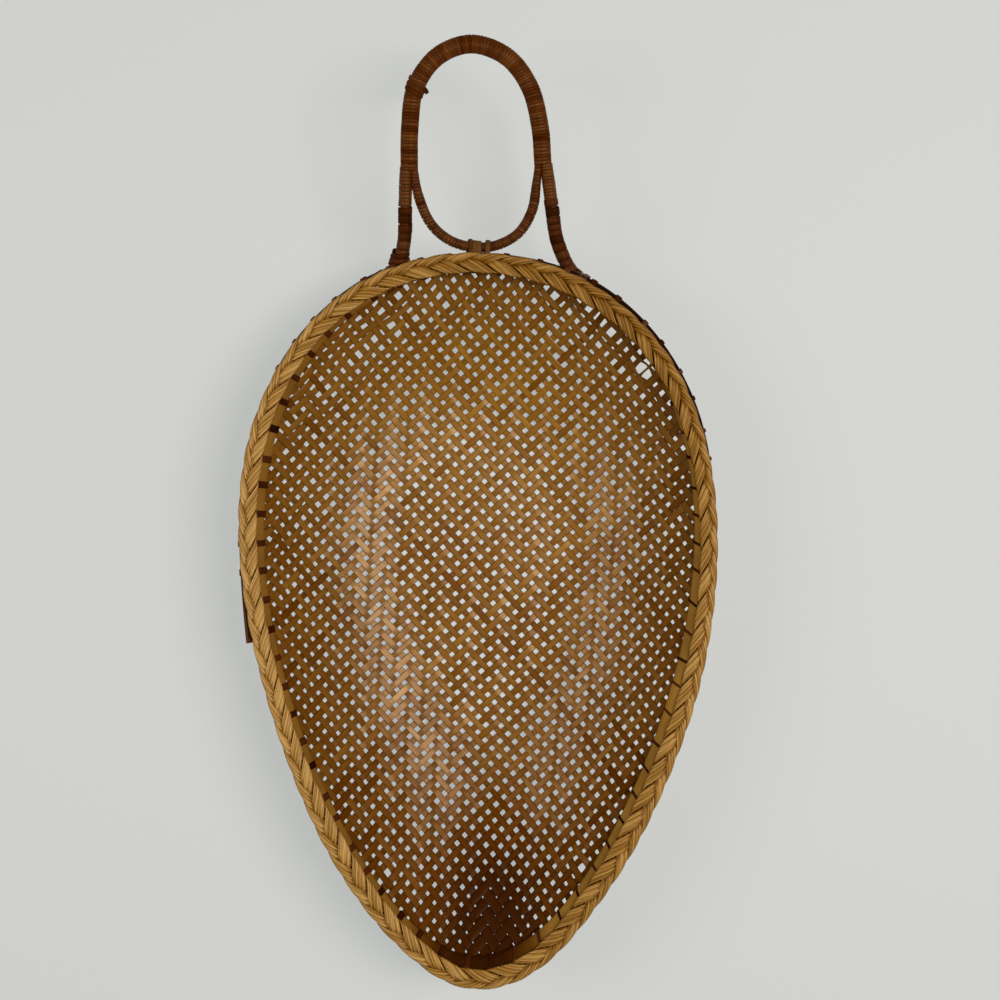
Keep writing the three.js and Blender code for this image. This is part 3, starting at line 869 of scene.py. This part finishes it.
@dataclass
class RimPlait:
    """Flat plait of three strands over the hoops; each is a bundle of straws that fold at its edges."""

    line: EggOutline = EggOutline(134.6, 215.1)
    repeats: int = 22
    steps: int = 20
    strands: int = 3
    straws: int = 8
    # Turn round the rim, half width there, and how far the plait lies outside its line, as the hand left it
    lay: Table = (
        (0.0, 6.5, 0.2), (0.04, 6.8, -0.5), (0.08, 6.5, -1.0), (0.12, 6.2, -0.5), (0.16, 6.0, -0.8),
        (0.2, 5.8, -0.7), (0.24, 5.6, 0.4), (0.28, 6.1, 1.5), (0.32, 6.5, 0.9), (0.36, 7.0, 0.4),
        (0.4, 6.5, -0.2), (0.44, 6.2, 1.7), (0.48, 6.6, 1.7), (0.52, 6.2, 1.7), (0.56, 6.5, -1.2),
        (0.6, 6.6, -0.9), (0.64, 7.0, -0.6), (0.68, 6.0, -0.9), (0.72, 5.8, -1.4), (0.76, 5.8, -0.5),
        (0.8, 6.0, 1.1), (0.84, 5.9, 2.1), (0.88, 5.7, 2.2), (0.92, 6.3, 2.6), (0.96, 6.6, 1.4))
    lay_smoothing: float = 0.015
    scallop: float = 1.0
    meeting_shift: float = 1.1
    height: float = 65.7
    droop: float = 1.5
    layer: float = 0.95
    dome: float = 0.35
    shingle: float = 0.4
    straw_width: float = 1.18
    straw_thickness: float = 0.9
    bundle_fill: float = 0.88
    fold_sharpness: float = 0.95
    wave_power: float = 0.6
    # A straw's own tone, how much paler it is by turn round the rim, and the painted shade that darkens it
    # underneath and at the bundle's sides
    tones: Span = (0.58, 1.0)
    pale: Table = (
        (0.0, -0.1), (0.08, -0.2), (0.16, -0.12), (0.25, 0.02), (0.42, -0.04), (0.58, 0.06), (0.75, 0.14),
        (0.92, 0.0))
    painted_under_shade: Fade = Fade(0.45, 0.6, -0.4)
    painted_side_shade: float = 0.14
    seed: int = 5

    def lay_at(self, turn: Array) -> list[Array]:
        """Half width and shift outwards of the plait, smoothed round the rim."""
        samples = 9
        near = np.linspace(-self.lay_smoothing, self.lay_smoothing, samples)
        return [column.mean(1) for column in read_round(self.lay, turn[:, None] + near)]

    def straw(self, strand: int, straw: int, tone: float, number: float) -> Run:
        """One straw all the way round.

        Args:
            strand: which strand it is in.
            straw: its place in the strand.
            tone: its tone.
            number: a number of its own for its grain.

        Returns:
            The straw's run.
        """
        share = np.linspace(0, 1, self.repeats * self.steps + 1)
        turn = self.line.turn_at(share)
        room = 2 * np.pi / self.strands
        lag = room * self.bundle_fill * ((straw + 0.5) / self.straws - 0.5)
        aside = 2 * lag / room
        phase = 2 * np.pi * self.repeats * share + room * strand + lag
        zigzag = np.arcsin(self.fold_sharpness * np.sin(phase)) / math.asin(self.fold_sharpness)
        half_width, shift = self.lay_at(turn)
        edge = half_width - self.straw_width / 2 - self.scallop * aside**2
        out = edge * zigzag + self.meeting_shift * (1 - zigzag**2) + shift
        wave = self.over_under(phase, lag)
        height = self.height - self.droop * zigzag**2 + self.layer * wave
        height += (wave > 0) * wave * (self.shingle * aside - self.dome * aside**2)
        points = self.line.beside(turn, out, height)
        tip = -2 * self.droop * zigzag / edge
        facing = unit(self.line.outward(turn) * -tip[:, None] + [0, 0, 1])
        tones = tone + read_round(self.pale, turn)[0]
        # Painted shade where the straw runs under and at the bundle's sides
        tones -= self.painted_under_shade.at(wave) + self.painted_side_shade * aside**2
        return Run(points, facing, self.straw_width, self.straw_thickness, tones, number, closed=True)

    def over_under(self, phase: Array, lag: float) -> Array:
        """1 where a straw lies on top, -1 where it runs under, smooth between.

        Args:
            phase: where in its swing the straw is.
            lag: how far it lags behind the middle of its strand.

        Returns:
            The wave: it rises at the middle of the plait and goes under at the fold on its edge.
        """
        half = phase % np.pi
        rise_at = lag / 2
        fold_at = np.pi / 2
        on_top = (half - rise_at) / (fold_at - rise_at)
        below = np.where(half > fold_at, half - fold_at, half + np.pi - fold_at) / (np.pi + rise_at - fold_at)
        top = (half >= rise_at) & (half <= fold_at)
        wave = np.where(top, np.sin(np.pi * np.clip(on_top, 0, 1)), -np.sin(np.pi * np.clip(below, 0, 1)))
        return np.sign(wave) * np.abs(wave) ** self.wave_power

    def build(self) -> None:
        """Plaits the three strands."""
        chance = np.random.default_rng(self.seed)
        finish = STRAW.material()
        for strand in range(self.strands):
            runs = []
            for straw in range(self.straws):
                runs.append(self.straw(strand, straw, chance.uniform(*self.tones), chance.uniform(0, 1)))
            name = f"straw_strand_{strand + 1}"
            make_piece(name, runs, Cut.STRAW, finish, (f"plait_strand_{strand + 1}",))


class Rod(NamedTuple):
    """A round thing inside a winding: its place in the winding's plane and its radius."""

    across: float
    radius: float
    deep: float = 0.0


def tight_round(rods: list[Rod], angle: Array, thickness: float | Array) -> tuple[Array, Array]:
    """A strip pulled tight round rods, seen end on.

    Args:
        rods: what it goes round.
        angle: the way the strip faces at each point, in radians.
        thickness: the strip's thickness.

    Returns:
        The middle of the strip at each point, and the way it faces, both as across and deep.
    """
    facing = np.stack([np.cos(angle), np.sin(angle)], -1)
    across, radii, deep = np.array(rods).T
    places = np.stack([across, deep], -1)
    outermost = np.argmax(facing @ places.T + radii, 1)
    return places[outermost] + facing * (radii[outermost] + thickness / 2)[:, None], facing


def in_plane(parts: Array, across: Array, deep: Array) -> Array:
    """Vectors in space from their parts across and deep."""
    return across * parts[:, :1] + deep * parts[:, 1:]


@dataclass
class RimStitches:
    """Loops of split rattan that sew the hoops and the sheet together, and bind other things to them."""

    hoops: RimHoops
    count: int = 63
    strip_width: float = 4.6
    width_range: Span = (0.75, 1.0)
    strip_thickness: float = 0.55
    corner: float = 0.6
    steps: int = 24
    # Share of the spacing that a stitch strays either way
    stray: float = 0.1
    # Turn round which the stitches are narrower and lean along the rim
    narrow_turn: float = 0.31
    narrow: Fade = Fade(1, 0.256, 0.096)
    narrowing: float = 0.6
    lean: float = 0.35
    lean_range: Span = (0.3, 1.2)
    seed: int = 3

    def hoop_rods(self, turn: float, lift: float = 0.0) -> list[Rod]:
        """The hoops' four corners, across the leaning band and down from its top; both tops are level.

        Args:
            turn: where on the rim.
            lift: how far the outer hoop stands off its place.

        Returns:
            A thin rod at each corner.
        """
        inside = HOOP_MIDDLE + HOOP_THICKNESS / 2 - self.corner
        outside = inside + lift
        inner_low = float(read_round(self.hoops.inner_lay, turn)[0]) - self.corner
        outer_low = HOOP_WIDTH - self.corner
        spots = ((-inside, self.corner), (outside, self.corner), (outside, outer_low), (-inside, inner_low))
        return [Rod(across, self.corner, deep - across * math.tan(HOOP_LEAN)) for across, deep in spots]

    def loop(self, turn: float, rods: list[Rod], width: float, thickness: float, tone: float,
             lean: float = 0.0) -> Run:
        """One closed loop across the rim.

        Args:
            turn: where on the rim.
            rods: what it goes round.
            width: the strip's width.
            thickness: the strip's thickness.
            tone: its tone.
            lean: how far it moves along the rim for each millimetre down.

        Returns:
            The loop's run.
        """
        angle = np.linspace(0, 2 * np.pi, self.steps + 1)
        spots, looks = tight_round(rods, angle, thickness)
        at = np.full(len(angle), turn)
        across, down = hoop_frame(at)
        points = hoop_line(at, 0, 0) + in_plane(spots, across, down)
        points += np.cross(across, down) * lean * (spots[:, 1:] - HOOP_WIDTH / 2)
        return Run(points, in_plane(looks, across, down), width, thickness, tone, tone, closed=True)

    def build(self) -> None:
        """Sews the rim."""
        chance = np.random.default_rng(self.seed)
        start = SHEET_EDGE.share_at(self.hoops.lap_turn)
        runs = []
        for stitch in range(self.count):
            share = (stitch + chance.uniform(-self.stray, self.stray)) / self.count % 1
            turn = float(SHEET_EDGE.turn_at(share))
            lapped = (start - share) % 1
            lift = HOOP_THICKNESS + self.hoops.fit_gap
            if lapped > self.hoops.lap_share:
                lift = float(self.hoops.lift(lapped, turn))
            narrow = float(self.narrow.at(abs(turn - self.narrow_turn)))
            width = self.strip_width * chance.uniform(*self.width_range) * (1 - self.narrowing * narrow)
            lean = self.lean * narrow * chance.uniform(*self.lean_range)
            rods = self.hoop_rods(turn, lift)
            runs.append(self.loop(turn, rods, width, self.strip_thickness, chance.uniform(0, 1), lean))
        make_piece("rim_stitches", runs, Cut.CORD, LASHING_RATTAN.material())


# Handle


def handle_point(across: float, along: float) -> Point:
    """A place on the handle's plane, which rises from the outside of the rim at the handle end."""
    y = HANDLE_ROOT_Y + along * math.cos(HANDLE_TILT)
    return (across, y, HANDLE_ROOT_Z + along * math.sin(HANDLE_TILT))


def smooth_line(knots: Array, closed: bool) -> Array:
    """Centripetal spline through knots, as dense points.

    Args:
        knots: the points to pass through.
        closed: whether the line comes back to its start.

    Returns:
        Points along it.
    """
    if closed:
        padded = np.concatenate([knots[-1:], knots, knots[:2]])
    else:
        padded = np.concatenate([2 * knots[:1] - knots[1:2], knots, 2 * knots[-1:] - knots[-2:-1]])
    steps = 24
    share = np.linspace(0, 1, steps, endpoint=False)[:, None]
    pieces = []
    for before, start, end, after in zip(padded, padded[1:], padded[2:], padded[3:]):
        gaps = [np.linalg.norm(b - a) ** 0.5 for a, b in ((before, start), (start, end), (end, after))]
        out = (start - before) / gaps[0] - (end - before) / (gaps[0] + gaps[1]) + (end - start) / gaps[1]
        into = (end - start) / gaps[1] - (after - start) / (gaps[1] + gaps[2]) + (after - end) / gaps[2]
        pieces.append(eased(share, start, end, out * gaps[1], into * gaps[1]))
    pieces.append(knots[:1] if closed else knots[-1:])
    return np.concatenate(pieces)


class CaneLine:
    """The middle line of a cane, read by length, with directions across and square to the handle's plane."""

    def __init__(self, knots: list[Point], closed: bool) -> None:
        """Runs the line through its knots.

        Args:
            knots: the points to pass through.
            closed: whether the cane is a loop.
        """
        self.points = smooth_line(np.array(knots, float), closed)
        self.lengths = run_lengths(self.points)
        self.length = float(self.lengths[-1])
        self.closed = closed

    def frame(self, at: Array) -> tuple[Array, Array, Array, Array]:
        """Points, and directions along, across and out of the handle's plane, at lengths along the cane."""
        step = 0.5
        before, points, after = (sampled(self.points, self.lengths, np.clip(at + move, 0, self.length))
                                 for move in (-step, 0, step))
        along = unit(after - before)
        up = np.array([0, -math.sin(HANDLE_TILT), math.cos(HANDLE_TILT)])
        across = unit(np.cross(up, along))
        return points, along, across, np.cross(along, across)

    def nearest(self, spot: Point) -> float:
        """Length along the cane that lies nearest to a spot."""
        return float(self.lengths[np.argmin(np.linalg.norm(self.points - np.array(spot), axis=1))])

    def cane(self, radius: float, steps: int, taper: float = 0.0) -> Run:
        """The cane itself, thinner towards open ends.

        Args:
            radius: its radius.
            steps: points along it.
            taper: share of the radius that is whittled away at an open end.

        Returns:
            The cane's run.
        """
        taper_length, tone = 14, 0.6
        at = np.linspace(0, self.length, steps)
        points, _, _, deep = self.frame(at)
        from_end = np.minimum(at, self.length - at)
        width = 2 * radius * (1 - taper * ramp(from_end, taper_length, 0))
        return Run(points, deep, width, width, tone, number=0.4, closed=self.closed)


class Wrap(NamedTuple):
    """How a strip is wound: about how far a turn moves on, its thickness and tone, and how uneven it is."""

    pitch: float
    thickness: float
    tone: float
    spread: float


class Turn(NamedTuple):
    """One turn of a winding: how far it moves on, the strip's thickness and tone, and padding under it."""

    pitch: float
    thickness: float
    tone: float
    padding: float = 0.0


def winding(cane: CaneLine, start: float, turns: Sequence[Turn], rods: list[Rod], number: float,
            slant: float = 0.0) -> Run:
    """A strip wound round one or more rods.

    Args:
        cane: the line that it goes along.
        start: where it starts, as a length along the cane.
        turns: its turns in order.
        rods: what it goes round.
        number: a number of its own for its grain.
        slant: how far the turns lean along the cane for each millimetre across.

    Returns:
        The strip's run: each turn stays level at first and moves on in the rest of its round.
    """
    steps, front_and_back = 14, (0.25, 0.75)
    cover, level_share = 0.98, 0.4
    parts = np.sort(np.append(np.arange(steps) / steps, front_and_back))
    whole = np.arange(len(turns) + 1)
    turned = np.append((whole[:-1, None] + parts).ravel(), len(turns))
    table = np.array(turns)
    pitch, thickness, tone, padding = sampled(table, whole[:-1] + 0.5, turned).T
    moved = np.floor(turned) + ramp(turned % 1, level_share, 1)
    at = np.interp(moved, whole, start + np.concatenate([[0], np.cumsum(table[:, 0])]))
    spots, looks = tight_round(rods, 2 * np.pi * turned, thickness + 2 * padding)
    points, _, across, deep = cane.frame(at + slant * (spots[:, 0] - spots[:, 0].mean()))
    points = points + in_plane(spots, across, deep)
    return Run(points, in_plane(looks, across, deep), cover * pitch, thickness, tone, number)


@dataclass
class Handle:
    """Two canes, an arch and an oval loop inside it, bound together over the top and wrapped all along."""

    stitches: RimStitches
    outer_radius: float = 2.8
    inner_radius: float = 2.0
    outer_steps: int = 240
    inner_steps: int = 200
    end_taper: float = 0.25
    fit_gap: float = 0.3
    left_foot_turns: Span = (0.047, 0.058)
    right_foot_turns: Span = (0.0535, 0.063)
    foot_drop: float = 3.6
    foot_clearance: float = 1.6
    arch: Table = (
        (-45.6, 9), (-44.5, 30), (-43.8, 52), (-43, 76), (-39, 99.5), (-25, 117.5), (-4, 124.6),
        (18, 117), (32, 99.5), (38.5, 76), (40.5, 54), (43.7, 31), (47.5, 9))
    lower_loop: Table = (
        (34.4, 43), (32, 28), (24, 14.5), (11, 7.2), (-2, 5.8), (-17, 9.6), (-28.5, 19), (-36, 35))
    left_fork: int = 2
    splice: int = 4
    right_fork: int = 10
    hug_points: int = 12
    # Wrap of the arch; a thin list runs along under it and lifts it into a ridge
    arch_wrap: Wrap = Wrap(1.85, 0.32, 0.55, 0.16)
    list_height: float = 0.6
    # Knotted turns at the splice, and the strip's cut end: how far it sticks out, its size and its curl
    splice_turns: tuple[Turn, ...] = (Turn(2.6, 0.6, 0.3), Turn(3.0, 0.8, 0.5))
    splice_lead: float = 3.4
    splice_slant: float = 0.25
    cut_end_ahead: float = 1.0
    cut_end_out: Span = (-0.5, 2.8)
    cut_end_width: Span = (3.4, 2.4)
    cut_end_thickness: Span = (2.2, 1.4)
    cut_end_curl: Span = (1.4, 0.8)
    cut_end_tone: float = 0.2
    cut_end_steps: int = 6
    # Legs: fine turns above, first over rising padding, and coarse ones below
    leg_start: float = 9.0
    leg_top_wrap: Wrap = Wrap(1.85, 0.34, 0.85, 0.1)
    leg_wrap: Wrap = Wrap(1.85, 0.34, 0.8, 0.1)
    coarse_wrap: Wrap = Wrap(4.7, 0.65, 0.4, 0.22)
    coarse_share: float = 0.68
    leg_padding: float = 0.85
    # Loop, with padding that comes up over its first turns and dies away over its last ones
    loop_wrap: Wrap = Wrap(2.0, 0.34, 0.6, 0.14)
    loop_padding: float = 0.75
    loop_padding_turns: int = 9
    # Feet: turns round the whittled ends, a lumpy knot on the left leg, and bindings at turns round the rim
    foot_turns: tuple[Turn, ...] = (Turn(2.5, 0.8, 0.9), Turn(2.5, 0.8, 0.6), Turn(2.5, 0.8, 1.0))
    foot_slimming: float = 0.85
    left_foot_start: float = 1.0
    right_foot_length: float = 8.5
    knot_turns: tuple[Turn, ...] = (
        Turn(3.0, 1.3, 0.3, 1.3), Turn(3.4, 1.7, 0.5, 1.9), Turn(3.2, 1.3, 0.2, 1.4))
    knot_start: float = 14.5
    knot_shift: float = 0.8
    knot_slant: float = -0.3
    left_binding_turns: Span = (-0.0555, -0.053)
    right_binding_turns: Span = (0.058, 0.0605)
    binding_width: float = 2.8
    binding_strip: float = 0.8
    binding_tones: Span = (0.5, 1.0)
    # Turn round the rim of each turn of the tie, and how far it leans along the rim for each millimetre down
    tie_turns: Table = ((-0.0062, 0.2), (-0.0031, 0.08), (0.0002, -0.05), (0.0042, 0.05))
    tie_widths: Span = (2.8, 3.4)
    tie_strips: Span = (1.0, 1.5)
    tie_tones: Span = (0.4, 0.9)
    # A cane is looked for within this distance of the hoops' top
    tie_reach: float = 25.0
    seed: int = 8

    def __post_init__(self) -> None:
        """Lays out both canes as the frame has them."""
        left_feet = [self.foot(-turn) for turn in reversed(self.left_foot_turns)]
        right_feet = [self.foot(turn) for turn in self.right_foot_turns]
        self.outer = CaneLine([*left_feet, *[handle_point(*p) for p in self.arch], *right_feet], False)
        forks = (self.left_fork, self.splice, self.right_fork)
        self.left, self.middle, self.right = [self.outer.nearest(handle_point(*self.arch[i])) for i in forks]
        self.spacing = self.outer_radius + self.inner_radius + self.fit_gap
        points, _, across, _ = self.outer.frame(np.linspace(self.left, self.right, self.hug_points + 1))
        hug = points - across * self.spacing
        self.inner = CaneLine([*map(tuple, hug), *[handle_point(*p) for p in self.lower_loop]], True)
        self.loop_start = self.inner.nearest(tuple(hug[-1]))
        self.chance = np.random.default_rng(self.seed)
        self.pair = [Rod(0, self.outer_radius), Rod(-self.spacing / 2, self.outer_radius + self.list_height),
                     Rod(-self.spacing, self.inner_radius)]

    def foot(self, turn: float) -> Point:
        """A point of the outer cane's foot, which lies along the outer hoop."""
        at = np.array([turn])
        away = HOOP_MIDDLE + HOOP_THICKNESS / 2 + self.outer_radius + self.foot_clearance
        return tuple((hoop_line(at, 0, self.foot_drop) + hoop_frame(at)[0] * away)[0])

    def turns(self, length: float, wrap: Wrap, padding: Span = (0.0, 0.0)) -> list[Turn]:
        """Uneven turns that fill a length.

        Args:
            length: the length to fill.
            wrap: how the strip is wound.
            padding: what lies under the first and the last turn.

        Returns:
            The turns in order.
        """
        count = max(1, round(length / wrap.pitch))
        uneven = (1 - wrap.spread, 1 + wrap.spread, count)
        widths = self.chance.uniform(*uneven)
        tones = np.clip(self.chance.normal(wrap.tone, wrap.spread, count), 0, 1)
        proud = wrap.thickness * self.chance.uniform(*uneven)
        return list(map(Turn, widths * length / widths.sum(), proud, tones, np.linspace(*padding, count)))

    def tied_rods(self, cane: CaneLine, turn: float, radius: float) -> list[Rod]:
        """The hoops' corners, and a cane as it lies beside them in the plane square to the rim at a turn."""
        at = np.array([turn])
        across, down = (axis[0] for axis in hoop_frame(at))
        off = cane.points - hoop_line(at, 0, 0)
        from_plane = np.abs(off @ np.cross(across, down))
        near = off[np.argmin(np.where(np.linalg.norm(off, axis=1) > self.tie_reach, np.inf, from_plane))]
        return [*self.stitches.hoop_rods(turn), Rod(float(near @ across), radius, float(near @ down))]

    def build_arch(self, finish: bpy.types.Material) -> None:
        """Winds both canes together over the arch, with the splice where two strips meet."""
        wraps = (("left_arch_wrap", self.left, self.middle), ("arch_wrap", self.middle, self.right))
        for name, start, end in wraps:
            run = winding(self.outer, start, self.turns(end - start, self.arch_wrap), self.pair, number=0.3)
            make_piece(f"{name}_strip", [run], Cut.WRAP, finish, (name,))
        over = [Rod(rod.across, rod.radius + self.arch_wrap.thickness) for rod in self.pair]
        start = self.middle - self.splice_lead
        band = winding(self.outer, start, self.splice_turns, over, number=0.6, slant=self.splice_slant)
        steps = self.cut_end_steps
        points, along, across, deep = self.outer.frame(np.full(steps, self.middle + self.cut_end_ahead))
        inside = self.spacing + self.inner_radius + np.linspace(*self.cut_end_out, steps)[:, None]
        curl = np.linspace(0, 1, steps)[:, None] ** 2
        back, up = self.cut_end_curl
        end_points = points - across * inside - along * back * curl + deep * up * curl
        width = np.linspace(*self.cut_end_width, steps)
        thickness = np.linspace(*self.cut_end_thickness, steps)
        cut_end = Run(end_points, deep, width, thickness, self.cut_end_tone, number=0.8)
        make_piece("splice_turns", [band, cut_end], Cut.CORD, finish, ("splice_band",))

    def leg_turns(self, length: float) -> list[Turn]:
        """Turns of a leg from its fork down: fine ones, then coarse ones over more padding."""
        fine = length * (1 - self.coarse_share)
        full = self.leg_padding
        turns = self.turns(fine / 2, self.leg_top_wrap, (full / 2, full))
        turns += self.turns(fine / 2, self.leg_wrap, (full, full))
        return turns + self.turns(length - fine, self.coarse_wrap, (full, full))

    def build_legs(self, finish: bpy.types.Material) -> None:
        """Winds the outer cane below the forks: fine turns above, coarse ones down to the feet."""
        rods = [Rod(0, self.outer_radius)]
        left_turns = self.leg_turns(self.left - self.leg_start)[::-1]
        right_turns = self.leg_turns(self.outer.length - self.leg_start - self.right)
        for side, start, turns, number in (("left", self.leg_start, left_turns, 0.2),
                                           ("right", self.right, right_turns, 0.5)):
            run = winding(self.outer, start, turns, rods, number)
            node = f"{side}_leg_wrap"
            make_piece(f"{side}_leg_strip", [run], Cut.WRAP, finish, (node,))

    def build_bindings(self, finish: bpy.types.Material) -> None:
        """Winds the feet and binds them to the hoops, with a lumpy knot where the left leg bends."""
        foot_rod = [Rod(0, self.outer_radius * self.foot_slimming)]
        knot_rod = [Rod(self.knot_shift, self.outer_radius)]
        knot = winding(self.outer, self.knot_start, self.knot_turns, knot_rod, 0.9, self.knot_slant)
        left_foot = winding(self.outer, self.left_foot_start, self.foot_turns, foot_rod, number=0.1)
        right_start = self.outer.length - self.right_foot_length
        right_foot = winding(self.outer, right_start, self.foot_turns, foot_rod, number=0.6)
        for side, spots, runs in (("left", self.left_binding_turns, [left_foot, knot]),
                                  ("right", self.right_binding_turns, [right_foot])):
            for turn in spots:
                rods = self.tied_rods(self.outer, turn, self.outer_radius)
                tone = float(self.chance.uniform(*self.binding_tones))
                runs.append(self.stitches.loop(turn, rods, self.binding_width, self.binding_strip, tone))
            node = f"{side}_foot_binding"
            make_piece(f"{side}_foot_loops", runs, Cut.CORD, finish, (node,))

    def build_loop(self, finish: bpy.types.Material) -> None:
        """Winds the inner cane below the forks."""
        length = self.inner.length - self.loop_start
        turns = self.turns(length, self.loop_wrap)
        for index, turn in enumerate(turns):
            share = min(1, min(index, len(turns) - index) / self.loop_padding_turns)
            turns[index] = turn._replace(padding=self.loop_padding * share)
        run = winding(self.inner, self.loop_start, turns, [Rod(0, self.inner_radius)], number=0.4)
        make_piece("lower_loop_strip", [run], Cut.WRAP, finish, ("lower_loop_wrap",))

    def build_tie(self, finish: bpy.types.Material) -> None:
        """Ties the loop to the rim."""
        radius = self.inner_radius + self.loop_padding + self.loop_wrap.thickness
        spans = (self.tie_widths, self.tie_strips, self.tie_tones)
        loops = []
        for turn, lean in self.tie_turns:
            rods = self.tied_rods(self.inner, turn, radius)
            width, thickness, tone = (float(self.chance.uniform(*span)) for span in spans)
            loops.append(self.stitches.loop(turn, rods, width, thickness, tone, lean))
        make_piece("rim_tie_loops", loops, Cut.CORD, finish, ("rim_tie",))

    def build(self) -> None:
        """Makes the canes and all that is wound on them."""
        warm, dark = RATTAN.material(), DARK_RATTAN.material()
        outer = self.outer.cane(self.outer_radius, self.outer_steps, self.end_taper)
        inner = self.inner.cane(self.inner_radius, self.inner_steps)
        make_piece("outer_cane", [outer], Cut.CANE, warm, ("handle_outer_cane",))
        make_piece("inner_cane", [inner], Cut.CANE, warm, ("handle_inner_cane",))
        self.build_arch(warm)
        self.build_legs(dark)
        self.build_bindings(dark)
        self.build_loop(dark)
        self.build_tie(TIE_RATTAN.material())


# Studio


@dataclass
class Studio:
    """Pale floor, two soft boxes overhead and a camera straight above the rim; lengths are in metres."""

    lens: float = 46.0
    sensor: float = 36.0
    # Where the camera stands, in the maker's millimetres
    camera_spot: Point = (12.6, 72.3, 835.0)
    floor_colour: str = "#d7dbda"
    floor_shadow_share: float = 0.42
    floor_sides: int = 64
    # Radius and height of each ring of the floor, which sweeps up far behind the basket
    sweep: Table = ((3.0, 0.0), (3.8, 0.12), (4.4, 0.45), (4.8, 1.0), (5.0, 1.8), (5.0, 2.6))
    # Degrees that each box leans to its side, and its power
    right_box: Span = (27, 15.5)
    left_box: Span = (-42, 7)
    box_size: Span = (0.45, 0.8)
    box_distance: float = 1.5
    box_colour: str = "#fff6ea"
    box_back_lean: float = math.radians(3)
    sky_colour: str = "#e4e1dc"
    sky_strength: float = 0.14

    def build(self) -> None:
        """Makes the camera, the floor and the lights."""
        scene = bpy.context.scene
        scene.view_settings.view_transform = "Standard"
        camera = put("camera", bpy.data.cameras.new("camera"))
        camera.data.lens = self.lens
        camera.data.sensor_width = self.sensor
        camera.location = place(np.array(self.camera_spot))
        scene.camera = camera
        floor = self.floor()
        floor.data.materials.append(self.floor_material())
        self.lights()

    def floor(self) -> bpy.types.Object:
        """A wide round floor with a rim that sweeps up."""
        bm = bmesh.new()
        radius, _ = self.sweep[0]
        bmesh.ops.create_circle(bm, cap_ends=True, segments=self.floor_sides, radius=radius)
        edge = bm.edges[:]
        for wider, height in self.sweep[1:]:
            ring = bmesh.ops.extrude_edge_only(bm, edges=edge)["geom"]
            edge = [part for part in ring if isinstance(part, bmesh.types.BMEdge) and part.is_boundary]
            for vert in (part for part in ring if isinstance(part, bmesh.types.BMVert)):
                vert.co = Vector((vert.co.x * wider / radius, vert.co.y * wider / radius, height))
            radius = wider
        bmesh.ops.recalc_face_normals(bm, faces=bm.faces)
        mesh = bpy.data.meshes.new("floor")
        bm.to_mesh(mesh)
        bm.free()
        mesh.shade_smooth()
        return put("floor", mesh)

    def floor_material(self) -> bpy.types.Material:
        """A pale finish that shows its own colour to the camera and keeps part of the shadow."""
        material, tree = new_material("pale_floor")
        path = add(tree, "LightPath")
        seen = path.outputs["Is Camera Ray"]
        for ray in ("Is Glossy Ray", "Is Transmission Ray"):
            seen = add(tree, "Math", {"operation": "MAXIMUM"}, {0: seen, 1: path.outputs[ray]})
        share = add(tree, "Math", {"operation": "MULTIPLY", 1: 1 - self.floor_shadow_share}, {0: seen})
        plain = add(tree, "BsdfDiffuse", {"Color": linear(self.floor_colour)})
        glow = add(tree, "Emission", {"Color": linear(self.floor_colour), "Strength": 1.0})
        mix = add(tree, "MixShader", links={0: share, 1: plain, 2: glow})
        add(tree, "OutputMaterial", links={"Surface": mix})
        return material

    def lights(self) -> None:
        """Two large soft boxes either side overhead, and an even sky."""
        back = self.box_back_lean
        for name, (degrees, power) in (("right_box", self.right_box), ("left_box", self.left_box)):
            lean = math.radians(degrees)
            lamp = bpy.data.lights.new(name, "AREA")
            lamp.energy = power
            lamp.shape = "RECTANGLE"
            lamp.size, lamp.size_y = self.box_size
            lamp.color = linear(self.box_colour)[:3]
            upright = math.cos(lean)
            towards = Vector((math.sin(lean), upright * math.sin(back), upright * math.cos(back)))
            holder = put(name, lamp)
            holder.location = self.box_distance * towards
            holder.rotation_euler = towards.to_track_quat("Z", "Y").to_euler()
        world = bpy.data.worlds.new("sky")
        world.use_nodes = True
        sky = world.node_tree.nodes["Background"].inputs
        sky["Color"].default_value = linear(self.sky_colour)
        sky["Strength"].default_value = self.sky_strength
        bpy.context.scene.world = world


def main() -> None:
    """Builds the studio and the basket."""
    logging.basicConfig(level=logging.INFO, format="%(message)s")
    hoops = RimHoops()
    stitches = RimStitches(hoops)
    for part in (Studio(), WovenBody(), hoops, RimPlait(), stitches, Handle(stitches)):
        part.build()


if __name__ == "__main__":
    main()
